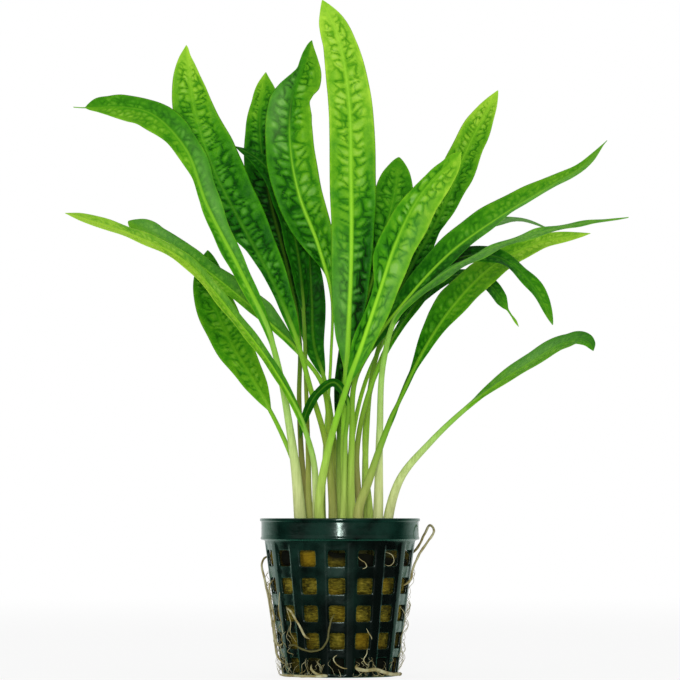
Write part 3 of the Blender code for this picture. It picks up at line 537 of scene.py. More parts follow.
def along_sides(leaf, share, column):
    """How much fuller one side of the blade is than its outline, joined smoothly between the listed
    places by the average of the values around each."""
    table = np.array(leaf.get("sides", EVEN_SIDES), float)
    fine = np.linspace(0.0, 1.0, 201)
    weights = np.exp(-np.linspace(-2.5, 2.5, 11)**2)
    rough = np.pad(np.interp(fine, table[:, 0], table[:, column]), 5, mode="edge")
    return np.interp(share, fine, np.convolve(rough, weights / weights.sum(), mode="valid"))[:, None]


def half_widths(leaf, share, at, thick, seed):
    """Half the width at each station: the stalk's radius joined to the blade's outline, with a slight
    waver, a point of (1 - s^start)^power, and a narrow tail where the leaf has a drip tip."""
    drip = leaf.get("drip", 0.0)
    leafy = np.clip(share / (1 - drip), 0.0, 1.0)
    waver = 1 + WAVER * soft_noise(at / WAVER_LENGTH, 0.5, seed + 0.5)
    acute = (1 - leafy**POINT_START)**POINT_POWER
    blade = blade_outline(leafy, leaf.get("tip_power", TIP_POWER)) * leaf["blade"][1] / 2 * waver * acute
    tail = DRIP_WIDTH * smoothstep(share, 0.5, 0.9) * (1 - share)**0.5 if drip else 0.0
    return np.sqrt((thick * (1 - share))**2 + blade**2 + tail**2)


print("outline at five places:", blade_outline(np.linspace(0.1, 0.9, 5), TIP_POWER).round(2))


# %% Crinkles
PITCH_BELOW = 2.9
PITCH_AT_TIP = 1.9
LANE_SHARE = 0.66
LANE_LEAST = 2.6
LANE_START = 31.0
SLANT = 0.5
BAR_WIDTH = 0.2
CURL_WIDTH, CURL_DEPTH = 0.14, 0.75
MARGIN_RELIEF = 0.25


def crinkles(at, share, across, q, half, scale, seed):
    """Sunken lines, from 0 to 1, around blisters and as curls on them, the blisters' hills, and how far
    the relief shows. Blisters lie in two lanes on each side. Distance along is counted in blisters, which
    get shorter towards the tip, and distance across in lanes, which start so far from 0 that the two
    sides differ. The outer lane is smoother, and so are the margin, the midrib and the blade's ends."""
    pitch = scale * (PITCH_BELOW + (PITCH_AT_TIP - PITCH_BELOW) * share)
    cells = np.cumsum(np.gradient(at) / pitch)[:, None] + 0 * q
    lanes = np.abs(across) / np.maximum(LANE_SHARE * half, LANE_LEAST)[:, None]
    lane = np.where(q > 0, lanes + LANE_START, -lanes - LANE_START)
    along = cells - SLANT * lanes + 0.5 * soft_noise(cells * 0.8, lane * 1.3, seed + 0.3)
    wide = lane + 0.3 * soft_noise(cells * 0.9, lane * 1.1, seed + 7.3)
    puffs = blisters(along, wide, seed)
    bars = 1 - smoothstep(puffs, 0.02, BAR_WIDTH)
    curls = 1 - smoothstep(np.abs(soft_noise(along * 1.15, wide * 1.25, seed + 3.7)), 0.0, CURL_WIDTH)
    outer = soft_noise(cells * 0.35, lane * 0.2, seed + 11.3)
    strength = 1 - smoothstep(np.abs(q), 0.55 + 0.25 * outer, 0.78 + 0.2 * outer)
    strength = np.maximum(strength, MARGIN_RELIEF * (1 - smoothstep(np.abs(q), 0.7, 0.9)))
    reach = smoothstep(np.abs(across), 0.5, 1.3) * smoothstep(half, 1.2, 3.0)[:, None]
    ends = smoothstep(share, 0.03, 0.16) * (1 - smoothstep(share, 0.9, 0.99))
    lines = np.maximum(bars, CURL_DEPTH * curls) * strength
    return lines, smoothstep(puffs, 0.15, 0.7) * strength, reach * ends[:, None]


print("blisters along a blade of 120 mm: about", round(240 / (PITCH_BELOW + PITCH_AT_TIP)))


# %% What the paint needs to know
FULL_CRINKLES = 0.45
SHEEN = 0.12


def along_leaf(share, values):
    """Values that are spread evenly from the blade's foot to its tip, read at each share."""
    return np.interp(share, np.linspace(0.0, 1.0, len(values)), values)


def bells(places, share, q):
    """A sum of soft spots, each amount exp(-((share - place) / length)^2 - ((q - across) / width)^2)."""
    return sum(amount * np.exp(-((share - place) / length)**2 - ((q - across) / width)**2)
               for place, across, length, width, amount in places)


def leaf_colours(leaf, share, q, flat, swell, rib):
    """The tone, the painted sheen, how much each point belongs to the blade, and how pale the midrib is
    there.
    The tone adds up the leaf's own tone with its painted shade, its two halves with their painted light and
    shade, and its patches. The painted sheen is a painted highlight on the blisters' tops, set by the leaf's
    sheen, and a grey painted reflection in the listed spots."""
    left, right = leaf.get("painted_light_halves", (0.0, 0.0))
    tone = along_leaf(share, leaf["tone"]) + bells(leaf.get("patches", []), share, q)
    tone = tone + flat * (left * smoothstep(-q, 0.0, 0.25) + right * smoothstep(q, 0.0, 0.25))
    painted_sheen = leaf.get("sheen", SHEEN) * smoothstep(swell, 0.25, 0.75) + bells(leaf.get("painted_sheen", []), share, q)
    vein = smoothstep(rib, 0.25, 0.9)
    blade = np.maximum(flat, smoothstep(share, 0.0, 0.03) * (1 - vein))
    return dict(tone=tone, painted_sheen=painted_sheen, blade=blade, rib=vein * along_leaf(share, leaf["rib"]))


print("tone in the middle of the tall leaf:", along_leaf(0.5, LEAVES["leaf_tall"]["tone"]).round(2))


# %% The whole leaf
RING_POINTS = 72
MIDRIB_TAPER = 0.72
SHEATH = 0.58
SHEATH_LENGTH = 34.0
SHEET = 0.15
FLAT_FROM = 0.17
FOLD = 0.12
FOLD_SOFTNESS = 0.8
RIPPLE = 0.5
RIPPLE_LENGTH = 17.0
OTHER_MARGIN = 0.37
UPPER_RIDGE = 0.4
PUFF_LENGTH, PUFF_WIDTH = 4.1, 3.3
PUFF_SHARE, HILL_SHARE, SWELL_LEAST = 0.6, 0.7, -0.15
HILLS_RISE, LINES_SINK = 0.5, 1.2


def leaf_surface(leaf, seed):
    """A tube of rings. At angle a of a ring, q goes from 1 over 0 to -1 and back. A point is
    across = half q, and up = the sheet's middle + or - its half thickness. The middle is
    fold |across| + ripple |q|^3 sin(along) + pucker (swell - lines). The half thickness goes from
    the stalk's circle r sin a to a thin sheet with a rounded midrib."""
    at, share, middle, side, up = leaf_frame(leaf)
    on_stalk = np.clip(at / (at[-1] - leaf["blade"][0]), 0.0, 1.0)
    thick = (leaf["stalk"][0] + (leaf["stalk"][1] - leaf["stalk"][0]) * on_stalk) / 2
    thick = thick * (1 - MIDRIB_TAPER * share) * (1 + SHEATH * np.exp(-(at / SHEATH_LENGTH)**2))
    half = half_widths(leaf, share, at, thick, seed)
    flat = smoothstep(share, 0.0, FLAT_FROM)[:, None]
    angle = np.arange(RING_POINTS) * 2 * math.pi / RING_POINTS
    even = np.abs(angle / math.pi - 1) * 2 - 1
    q = (1 - flat) * np.cos(angle) + flat * even
    fuller = np.where(q < 0, along_sides(leaf, share, 1), along_sides(leaf, share, 2))
    across = half[:, None] * fuller * q
    above = np.where(np.sin(angle) >= 0, 1.0, -1.0) * np.ones_like(q)
    lines, hills, reach = crinkles(at, share, across, q, half, leaf.get("pitch", 1.0), seed)
    puffs = soft_noise(at[:, None] / PUFF_LENGTH + 0 * q, across / PUFF_WIDTH, seed + 5.5)
    swell = reach * (PUFF_SHARE * puffs + HILL_SHARE * hills + SWELL_LEAST)
    fold = FOLD * (np.sqrt(across**2 + FOLD_SOFTNESS**2) - FOLD_SOFTNESS)
    turns = at[:, None] / RIPPLE_LENGTH + np.where(q > 0, 0.0, OTHER_MARGIN) + scatter(seed, 3, 1)
    ripple = leaf.get("ripple", RIPPLE) * np.abs(q)**3 * np.sin(2 * math.pi * turns)
    ripple = ripple * smoothstep(half, 1.5, 5.0)[:, None]
    rise = flat * (fold + ripple + leaf["pucker"] * (HILLS_RISE * swell - LINES_SINK * reach * lines))
    rib = np.exp(-(across / np.maximum(thick * 0.95, 0.3)[:, None])**2)
    ridge = thick[:, None] * rib * np.where(above > 0, UPPER_RIDGE, 1.0)
    sheet = SHEET * np.sqrt(np.clip(1 - q**2, 0, 1)) * smoothstep(half, 0.0, 1.5)[:, None]
    sheet = sheet + ridge * (1 - q**2)
    rise = rise + above * ((1 - flat) * thick[:, None] * np.abs(np.sin(angle)) + flat * sheet)
    rings = middle[:, None] + side[:, None] * across[..., None] + up[:, None] * rise[..., None]
    paint = leaf_colours(leaf, share[:, None], q, flat, swell, rib)
    crisp = min(1.0, leaf["pucker"] / FULL_CRINKLES)
    paint.update(stalk=on_stalk[:, None], lines=lines * reach * crisp, swell=swell, edge=np.abs(q),
                 under=(1 - above) / 2)
    rows = len(at) - 1
    points = np.concatenate([rings[:rows].reshape(-1, 3), middle[:1], middle[-1:]])
    for name, values in paint.items():
        values = values + 0 * q
        paint[name] = np.concatenate([values[:rows].ravel(), values[0, :1], values[-1, :1]])
    return points, tube_faces(rows, RING_POINTS), paint


print("points around a leaf:", RING_POINTS)

# %% [markdown]
# ## Nodes with less typing
#
# Every material below is a small net of shader nodes. One helper places a node, sets its values and links
# whatever is a socket. Effects that more than one material uses are node groups, built once: fine grain,
# which gives a mottled mask and a bumped normal, and the leaf's own paint.

# %% Node helpers
def put(tree, kind, inputs=None, **settings):
    """A new node with its settings, whose inputs take a value or a link from a socket."""
    node = tree.nodes.new(kind)
    for name, value in settings.items():
        setattr(node, name, value)
    for name, value in (inputs or {}).items():
        if isinstance(value, bpy.types.NodeSocket):
            tree.links.new(value, node.inputs[name])
        else:
            node.inputs[name].default_value = value
    return node


def put_group(tree, group, inputs):
    """The outputs of a group node with its inputs set or linked."""
    return put(tree, "ShaderNodeGroup", inputs, node_tree=group).outputs


def connect(tree, inputs, **sockets):
    """Links each socket to the input that it is named after, with _ for a space."""
    for name, socket in sockets.items():
        tree.links.new(socket, inputs[name.replace("_", " ")])


def mix(tree, share, first, second):
    """The colour between two others."""
    return put(tree, "ShaderNodeMix", {0: share, 6: first, 7: second}, data_type="RGBA").outputs[2]


def maths(tree, operation, first, second):
    """One step of arithmetic on the surface."""
    return put(tree, "ShaderNodeMath", {0: first, 1: second}, operation=operation).outputs[0]


def times(tree, first, second):
    """The product of two values."""
    return maths(tree, "MULTIPLY", first, second)


def add_up(tree, first, *others):
    """The sum of several values."""
    for other in others:
        first = maths(tree, "ADD", first, other)
    return first


def ramp(tree, value, low, high, at_low=0.0, at_high=1.0):
    """A value from low to high becomes one from at_low to at_high, and stays within them."""
    return put(tree, "ShaderNodeMapRange", {0: value, 1: low, 2: high, 3: at_low, 4: at_high}).outputs[0]


def attribute(tree, name):
    """A number that the mesh holds at each of its points."""
    return put(tree, "ShaderNodeAttribute", attribute_name=name).outputs["Fac"]


def own_place(tree):
    """The place of a point in the object's own coordinates, in metres."""
    return put(tree, "ShaderNodeTexCoord").outputs["Object"]


# %% Groups, materials and colour ramps
def new_group(name, inputs, outputs):
    """An empty node group with named sockets, and the ends to work between."""
    group = bpy.data.node_groups.new(name, "ShaderNodeTree")
    for label, kind, value in inputs:
        group.interface.new_socket(label, in_out="INPUT", socket_type=kind).default_value = value
    for label, kind in outputs:
        group.interface.new_socket(label, in_out="OUTPUT", socket_type=kind)
    return group, group.nodes.new("NodeGroupInput").outputs, group.nodes.new("NodeGroupOutput").inputs


def new_material(name, **constants):
    """A material with its tree and its Principled shader, and the constants on the shader's own sockets,
    with _ for a space."""
    material = bpy.data.materials.new(name)
    material.use_nodes = True
    shader = material.node_tree.nodes["Principled BSDF"]
    for label, value in constants.items():
        shader.inputs[label.replace("_", " ")].default_value = value
    return material, material.node_tree, shader


def colour_ramp(tree, value, stops):
    """A colour read from a list of (place, colour) along a value. The places are all set first, because
    a place that passes another one changes their order."""
    node = put(tree, "ShaderNodeValToRGB", {"Fac": value})
    elements = node.color_ramp.elements
    while len(elements) < len(stops):
        elements.new(0.5)
    for element, (place, colour) in zip(elements, stops):
        element.position = place
    for element, (place, colour) in zip(elements, stops):
        element.color = (*colour, 1.0)
    return node.outputs["Color"]


# %% Fine grain
FLOAT, COLOUR, VECTOR = "NodeSocketFloat", "NodeSocketColor", "NodeSocketVector"
FINER = 4.3

grain, source, sink = new_group(
    "fine grain",
    [("Place", VECTOR, (0, 0, 0)), ("Size", FLOAT, 500.0), ("Depth", FLOAT, 0.0001)],
    [("Mottle", FLOAT), ("Speckle", FLOAT), ("Normal", VECTOR)])
coarse = put(grain, "ShaderNodeTexNoise", {"Vector": source["Place"], "Scale": source["Size"], "Detail": 3.0})
finer = times(grain, source["Size"], FINER)
fine = put(grain, "ShaderNodeTexNoise", {"Vector": source["Place"], "Scale": finer, "Detail": 2.0})
height = add_up(grain, coarse.outputs["Fac"], fine.outputs["Fac"])
bump = put(grain, "ShaderNodeBump", {"Strength": 1.0, "Distance": source["Depth"], "Height": height})
connect(grain, sink, Mottle=coarse.outputs["Fac"], Speckle=fine.outputs["Fac"], Normal=bump.outputs["Normal"])
print("fine grain gives:", [socket.name for socket in sink if socket.name])

# %% [markdown]
# ## Leaf green
#
# In the photograph the greens run from nearly black at the back to a bright yellow green on the tall leaf.
# It is one pigment: young leaves and leaf tips have less of it, and folded places shade themselves, which
# is painted too: where a leaf or a fold lies in shadow its tone is painted darker. So one ramp from dark to
# bright is enough, and everything else moves along it: the leaf's own tone with its painted shade, the
# painted highlights on the hills and the painted shade in the sunken veins of the crinkles, the pale margin
# and the paler underside. Apart from a grey painted sheen, which stands in for the leaf's reflection, only
# the midrib leaves the ramp, because it is a pale stalk seen through a thin skin.

# %% Leaf paint
GREENS = [(0.0, (0.0012, 0.020, 0.0004)), (0.25, (0.007, 0.098, 0.0012)), (0.5, (0.042, 0.232, 0.0035)),
          (0.75, (0.135, 0.380, 0.0100)), (1.0, (0.330, 0.590, 0.035))]
MIDRIB_GREEN = (0.27, 0.60, 0.025, 1.0)
UNDERSIDE_GREEN = (0.12, 0.34, 0.04, 1.0)
PAINTED_SHEEN_GREEN = (0.200, 0.430, 0.110, 1.0)
LINES_PAINTED_SHADE, HILLS_PAINTED_HIGHLIGHT = -0.23, 0.20
MOTTLE_SHARE, SPECKLE_SHARE, MARGIN_SHARE = 0.34, 0.12, 0.14
PAINTED = ("Tone", "Lines", "Swell", "Rib", "Edge", "Under", "Painted_sheen")

leaf_paint, source, sink = new_group(
    "leaf paint",
    [(name, FLOAT, 0.0) for name in PAINTED] + [("Mottle", FLOAT, 0.5), ("Speckle", FLOAT, 0.5)],
    [("Colour", COLOUR), ("Roughness", FLOAT)])
# Sunken lines are painted darker, a painted shade, and swollen hills lighter, a painted highlight.
sunken_shade = times(leaf_paint, source["Lines"], LINES_PAINTED_SHADE)
hill_highlight = times(leaf_paint, source["Swell"], HILLS_PAINTED_HIGHLIGHT)
mottle = times(leaf_paint, maths(leaf_paint, "SUBTRACT", source["Mottle"], 0.5), MOTTLE_SHARE)
speckle = times(leaf_paint, maths(leaf_paint, "SUBTRACT", source["Speckle"], 0.5), SPECKLE_SHARE)
margin = ramp(leaf_paint, source["Edge"], 0.84, 0.98, 0.0, MARGIN_SHARE)
level = add_up(leaf_paint, source["Tone"], sunken_shade, hill_highlight, mottle, speckle, margin)
greens = colour_ramp(leaf_paint, level, GREENS)
skin = mix(leaf_paint, times(leaf_paint, source["Under"], 0.5), greens, UNDERSIDE_GREEN)
# A grey green mixed in by the painted sheen: a painted reflection, and on the blisters a painted highlight.
skin = mix(leaf_paint, source["Painted_sheen"], skin, PAINTED_SHEEN_GREEN)
rough = add_up(leaf_paint, ramp(leaf_paint, source["Lines"], 0.0, 1.0, 0.36, 0.5),
               times(leaf_paint, source["Speckle"], 0.08))
connect(leaf_paint, sink, Colour=mix(leaf_paint, source["Rib"], skin, MIDRIB_GREEN), Roughness=rough)
print("leaf paint:", len(leaf_paint.nodes), "nodes")

# %% [markdown]
# ## The stalks
#
# A stalk is nearly white where it stands in the shade of the pot and gets greener as it climbs. Old leaves
# have olive or brown stalks. A picture painted for each stalk would show this too, but the stalks would
# have to be unwrapped first. The mesh already holds how far up its stalk each point is, so each of four
# tints turns green along that number, with faint streaks that are the fine grain drawn out upwards.

# %% The four stalk tints
STALK_TINTS = {"pale": (0.64, 0.74, 0.32), "bright": (0.32, 0.56, 0.045),
               "olive": (0.26, 0.30, 0.035), "brown": (0.17, 0.13, 0.03)}
STALK_TOP_GREEN = (0.15, 0.45, 0.015, 1.0)
STALK_TOP_DARK = (0.035, 0.15, 0.006, 1.0)
STALK_STREAKS = (0.16, 0.24, 0.03, 1.0)
STALK_FOOT_TINT = (0.62, 0.62, 0.26, 1.0)
STALK_SHADE_IN_POT = (0.030, 0.028, 0.006, 1.0)
LEAF_SPECULAR = 0.05


def leaf_material(tint):
    """Leaf paint on the blade, and on the stalk a tint that turns green towards the blade and is painted near
    black low in the pot, a painted shade.
    """
    material, tree, shader = new_material("leaf_with_%s_stalk" % tint, Specular_IOR_Level=LEAF_SPECULAR)
    place = own_place(tree)
    height = put(tree, "ShaderNodeSeparateXYZ", {0: place}).outputs["Z"]
    skin = put_group(tree, grain, {"Place": place, "Size": 420.0, "Depth": 0.00012})
    painted = {name: attribute(tree, name.lower()) for name in PAINTED}
    blade = put_group(tree, leaf_paint, {**painted, "Mottle": skin["Mottle"], "Speckle": skin["Speckle"]})
    long_way = put(tree, "ShaderNodeMapping", {"Vector": place, "Scale": (1.0, 1.0, 0.08)})
    streaks = put_group(tree, grain, {"Place": long_way.outputs["Vector"], "Size": 1300.0, "Depth": 0.0001})
    greening = times(tree, ramp(tree, attribute(tree, "stalk"), 0.32, 0.9), 0.85)
    # Near the blade the stalk takes the blade's tone, painted shade included.
    top = mix(tree, ramp(tree, painted["Tone"], 0.05, 0.4), STALK_TOP_DARK, STALK_TOP_GREEN)
    stalk = mix(tree, greening, (*STALK_TINTS[tint], 1.0), top)
    stalk = mix(tree, ramp(tree, height, 0.052, 0.084, 0.42, 0.0), stalk, STALK_FOOT_TINT)
    stalk = mix(tree, ramp(tree, streaks["Mottle"], 0.35, 0.65, 0.0, 0.35), stalk, STALK_STREAKS)
    # Painted shade: low in the pot, where the stalks stand in shadow, they are painted near black.
    stalk = mix(tree, ramp(tree, height, 0.043, 0.052, 0.92, 0.0), stalk, STALK_SHADE_IN_POT)
    colour = mix(tree, attribute(tree, "blade"), stalk, blade["Colour"])
    connect(tree, shader.inputs, Base_Color=colour, Roughness=blade["Roughness"], Normal=skin["Normal"])
    return material


leaf_materials = {tint: leaf_material(tint) for tint in STALK_TINTS}
print("leaf materials:", sorted(leaf_materials))

# %% Make the leaves
leaf_triangles = 0
for seed, (name, leaf) in enumerate(LEAVES.items()):
    points, faces, paint = leaf_surface(leaf, seed + 1)
    piece = add_piece("fine_" + name, points, faces, leaf_materials[leaf["stalk_tint"]], paint)
    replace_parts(piece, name)
    leaf_triangles += sum(len(face.vertices) - 2 for face in piece.data.polygons)
print("triangles on the leaves:", leaf_triangles)

# %% [markdown]
# ## The basket pot
#
# The pot is one injection moulding: a tapered wall of upright ribs and level rings with square windows
# between them, a slotted floor and a plain band at the rim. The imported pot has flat-sided windows with
# sharp edges. Here the same wall is made of 75 window frames. Each frame is a grid of its own that starts
# on the border it shares with its neighbours, closes in on the window, rounds over its edge, goes through
# the wall and comes back on the inside. Turned profiles add the foot and the rim, and welding makes it one
# skin. Bevelling a mesh full of holes would round these edges too, but it can't set the rings back behind
# the ribs, as the mould does.

# %% The pot's sizes
POT_HEIGHT = 54.0
BAND_BOTTOM = 46.8
WALL_FOOT_RADIUS = 19.8
WALL_TOP_RADIUS = 25.9
WALL = 1.1
COLUMNS = 15
COLUMN_SHIFT = 3.3
COLUMN_HALF = 12.0
WINDOW_HALF_ARC = 7.05
WINDOW_HALF_HEIGHT = 2.8
WINDOW_CENTRES = np.array([3.9, 12.4, 21.7, 31.0, 40.4])
ROW_BORDERS = np.array([0.6, 8.15, 17.05, 26.35, 35.7, 46.3])
FLOOR_BORDERS = (5.5, 18.0)
SLOT_CENTRE, SLOT_HALF = 11.75, 4.75
CORNER_POWER = 8
RING_SETBACK = 0.38
SETBACK_SIDES = (6.6, 8.8)
SETBACK_FOOT, SETBACK_RIM = (0.6, 1.4), (44.6, 46.0)
EDGE_KEPT = 0.4
SIDE = np.array([-12, -10.3, -8.6, -7.05, -3.5, 0, 3.5, 7.05, 8.6, 10.3]) / COLUMN_HALF
LOOPS = [(1, 0), (0.8, 0), (0.6, 0), (0.4, 0), (0.16, 0), (0.05, 0.09), (0, 0.3), (0, 0.8), (0.05, 1.01),
         (0.16, WALL), (1, WALL)]


def wall_radius(height):
    """Outer radius of the tapered wall."""
    return WALL_FOOT_RADIUS + (WALL_TOP_RADIUS - WALL_FOOT_RADIUS) * height / BAND_BOTTOM


def around_axis(radius, angle, height):
    """Points at a radius and an angle around the pot's axis, and at a height."""
    x, y, z = np.broadcast_arrays(radius * np.cos(angle), radius * np.sin(angle), height)
    return np.stack([x, y, z], axis=-1)


def column_angles(across):
    """A frame's angles, in radians, at each of the pot's columns."""
    return [np.radians(across + column * 2 * COLUMN_HALF + COLUMN_SHIFT) for column in range(COLUMNS)]


print("wall radius half way up: %.2f mm" % wall_radius(BAND_BOTTOM / 2))

# %% A frame around a window
ones = np.ones(len(SIDE))
border = np.concatenate([np.stack([SIDE, -ones]), np.stack([ones, SIDE]),
                         np.stack([-SIDE, ones]), np.stack([-ones, -SIDE])], axis=1)
opening = border * (np.abs(border)**CORNER_POWER).sum(axis=0)**(-1 / CORNER_POWER)
loop_mix, loop_depth = np.array(LOOPS, float).T


def frame_grid(centre, half_arc, half_height, low, high):
    """Loops from the border of a cell to its opening: p = mix border + (1 - mix) opening. Across is an
    angle in degrees from the cell's middle, and upward goes from low to high on the border."""
    m = loop_mix[:, None]
    across = m * border[0] * COLUMN_HALF + (1 - m) * opening[0] * half_arc
    outer_up = (low + high) / 2 + border[1] * (high - low) / 2
    upward = m * outer_up + (1 - m) * (centre + opening[1] * half_height)
    return across, upward, loop_depth[:, None] * np.ones_like(across)


def grid_faces(rows, around):
    """Quads between the loops of a frame."""
    return tube_faces(rows, around)[:(rows - 1) * around]


def wall_frames():
    """All 75 frames. The rings lie back behind the ribs: the setback is full between a window's upright
    edges, and fades out over the ribs, at the foot and under the rim."""
    blocks = []
    for row, centre in enumerate(WINDOW_CENTRES):
        across, upward, depth = frame_grid(
            centre, WINDOW_HALF_ARC, WINDOW_HALF_HEIGHT, ROW_BORDERS[row], ROW_BORDERS[row + 1])
        ends = smoothstep(upward, *SETBACK_FOOT) * (1 - smoothstep(upward, *SETBACK_RIM))
        setback = RING_SETBACK * (1 - smoothstep(np.abs(across), *SETBACK_SIDES)) * ends
        depth = np.where(depth < WALL / 2, np.maximum(depth, setback + depth * EDGE_KEPT), depth)
        radius = wall_radius(upward) - depth
        blocks += [around_axis(radius, angle, upward) for angle in column_angles(across)]
    return blocks


def floor_frames():
    """The 15 slots of the floor, as frames that lie flat: upward is the radius here."""
    across, radius, depth = frame_grid(SLOT_CENTRE, WINDOW_HALF_ARC, SLOT_HALF, *FLOOR_BORDERS)
    return [around_axis(radius, angle, depth) for angle in column_angles(across)]


print("a frame has", len(LOOPS), "loops of", border.shape[1], "points")

# %% The turned parts
top_out = wall_radius(ROW_BORDERS[-1])
FOOT_PROFILE = [(18.0, 0), (19.0, 0), (19.6, 0.3), (wall_radius(0.6), 0.6)]
RIM_PROFILE = [(top_out, 46.3), (26.5, 46.58), (27.05, 46.72), (27.25, 46.9), (27.25, 47.3), (27.05, 47.7),
               (27.0, 48.1), (27.0, 48.3), (27.0, 52.4), (27.0, 52.6), (27.06, 52.9), (27.42, 53.0),
               (27.5, 53.12), (27.5, 53.7), (27.38, 53.9), (27.0, POT_HEIGHT), (26.4, 53.95), (26.1, 53.6),
               (26.0, 53.0), (25.9, 48.0), (25.2, 46.8), (top_out - WALL, 46.3)]
CHAMFER_PROFILE = [(wall_radius(0.6) - WALL, 0.6), (18.3, 0.95), (18.0, WALL)]
DISC_PROFILES = [[(0, 0), (2.5, 0), (5.5, 0)], [(5.5, WALL), (2.5, WALL), (0, WALL)]]


def turned(profile):
    """A profile of (radius, height) turned about Z through the pot's own angles."""
    radius, height = np.array(profile, float).T[:, :, None]
    return around_axis(radius, np.concatenate(column_angles(SIDE * COLUMN_HALF)), height)


def make_pot(material):
    """Frames and turned parts as one welded skin, with its faces made to point outwards."""
    blocks = wall_frames() + floor_frames()
    blocks += [turned(profile) for profile in [FOOT_PROFILE, RIM_PROFILE, CHAMFER_PROFILE] + DISC_PROFILES]
    parts = [(block.reshape(-1, 3), grid_faces(*block.shape[:2])) for block in blocks]
    points, faces = weld(*joined(parts))
    pot = add_piece("fine_pot", points, faces, material)
    shell = bmesh.new()
    shell.from_mesh(pot.data)
    bmesh.ops.recalc_face_normals(shell, faces=shell.faces)
    open_edges = sum(1 for edge in shell.edges if len(edge.link_faces) != 2)
    shell.to_mesh(pot.data)
    shell.free()
    print("pot:", len(points), "points,", open_edges, "edges without two faces")
    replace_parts(pot, "pot")


print("profiles of the rim:", len(RIM_PROFILE), "points, and of the foot:", len(FOOT_PROFILE))

# %% [markdown]
# ## The pot's plastic
#
# The plastic is nearly black, and a mottled share of it is dark green. At a slant, as on both sides of the
# pot, it is painted pale green, a painted reflection of the room. The green is strongest on the band and on
# the upper left of the wall, where the photograph shows it, and the wall goes nearly black towards the right
# and low down. The green could be a coat over the plastic, but a coat shines alike everywhere. So the colour
# goes from the black to the green by a mottled share, and on to a painted pale green reflection by how far
# the surface turns away from the eye. The band is polished and the wall is duller.

# %% Pot plastic
PLASTIC = (0.0005, 0.0018, 0.0013, 1.0)
PLASTIC_GREEN = (0.0032, 0.0210, 0.0138, 1.0)
PLASTIC_PAINTED_REFLECTION = (0.018, 0.100, 0.062, 1.0)
PLASTIC_SHEEN = (0.8, 1.0, 0.9, 1.0)
WALL_ROUGHNESS, BAND_ROUGHNESS = 0.25, 0.14
BAND_FROM, BAND_TO = (BAND_BOTTOM - 0.6) * MM, BAND_BOTTOM * MM
DARKER_RIGHT = (0.001, 0.011, 0.0, 0.95)
DARKER_BELOW = (0.016, 0.036, 0.85, 0.0)
REFLECTION_FROM, REFLECTION_TO = 0.36, 0.8


def pot_material():
    """Share of the green = mottle (1 - darker). Darker is the greater of two ramps, over X and over the
    height, which make the wall nearly black towards +X and low down, and there is none on the band."""
    material, tree, shader = new_material("moulded_black", Specular_Tint=PLASTIC_SHEEN)
    place = own_place(tree)
    mottling = put_group(tree, grain, {"Place": place, "Size": 130.0, "Depth": 0.00003})
    axes = put(tree, "ShaderNodeSeparateXYZ", {0: place}).outputs
    # The wall goes nearly black towards +X and low down.
    darker = maths(tree, "MAXIMUM", ramp(tree, axes["X"], *DARKER_RIGHT), ramp(tree, axes["Z"], *DARKER_BELOW))
    darker = times(tree, darker, ramp(tree, axes["Z"], BAND_FROM, BAND_TO, 1.0, 0.0))
    share = times(tree, ramp(tree, mottling["Mottle"], 0.30, 0.62), maths(tree, "SUBTRACT", 1.0, darker))
    # Pale green where the surface turns away from the eye: a painted reflection of the room.
    facing = put(tree, "ShaderNodeLayerWeight", {"Blend": 0.5}).outputs["Facing"]
    painted_reflection = ramp(tree, facing, REFLECTION_FROM, REFLECTION_TO)
    colour = mix(tree, painted_reflection, mix(tree, share, PLASTIC, PLASTIC_GREEN), PLASTIC_PAINTED_REFLECTION)
    dull = add_up(tree, ramp(tree, axes["Z"], BAND_FROM, BAND_TO, WALL_ROUGHNESS, BAND_ROUGHNESS),
                  ramp(tree, mottling["Mottle"], 0.3, 0.7, -0.03, 0.06))
    connect(tree, shader.inputs, Base_Color=colour, Roughness=dull, Normal=mottling["Normal"])
    return material


make_pot(pot_material())

# %% [markdown]
# ## The rock wool
#
# The plug is spun stone fibre, soaked and stained yellow brown. It fills the pot and presses a little way
# into each window. A fibrous thing could be hair, but hair is lost on export and can't be held against the
# wall. So the plug is one turned surface, roughened by noise that is stretched level as the fibres lie, and
# loose fibres are laid over it as thin prisms, all in one mesh.

# %% The plug
WOOL_BOTTOM = 1.4
WOOL_TOP = 41.5
WOOL_TILT = 2.0
WOOL_LUMP = 0.7
WOOL_MOUND = 2.6
LUMP_SPREAD = 2.2
LUMP_SHIFT = 0.8
WOOL_AROUND = 360
WOOL_SIDE_ROWS = 130
WOOL_TOP_ROWS = 50
WALL_GAP, WINDOW_GAP = 0.15, 0.3
WINDOW_BULGE = 0.55
BULGE_SIDES, BULGE_ENDS = (4.0, 6.8), (1.6, 2.7)
FIBRE_NOISE = ((3.1, 0.4), (1.4, 0.3), (0.7, 0.2), (0.35, 0.15))
ROUGH_WALL, ROUGHER_WINDOW = 0.12, 0.28


def wool_top(x, y):
    """Height of the plug's uneven top: higher on the left, with soft lumps and a mound behind the middle."""
    lumps = np.sin(x / LUMP_SPREAD + LUMP_SHIFT) * np.cos(y / LUMP_SPREAD) + np.sin(y / LUMP_SPREAD / 2)
    mound = WOOL_MOUND * smoothstep(y, -12.0, 4.0) * (1 - smoothstep(y, 12.0, 22.0))
    return WOOL_TOP - WOOL_TILT * x / WALL_FOOT_RADIUS + WOOL_LUMP * lumps + mound


def wool_radius(height):
    """The plug stays inside the pot's wall: (inner radius - gap) cos(half a window's arc) - gap."""
    return (wall_radius(height) - WALL - WALL_GAP) * math.cos(math.radians(WINDOW_HALF_ARC)) - WINDOW_GAP


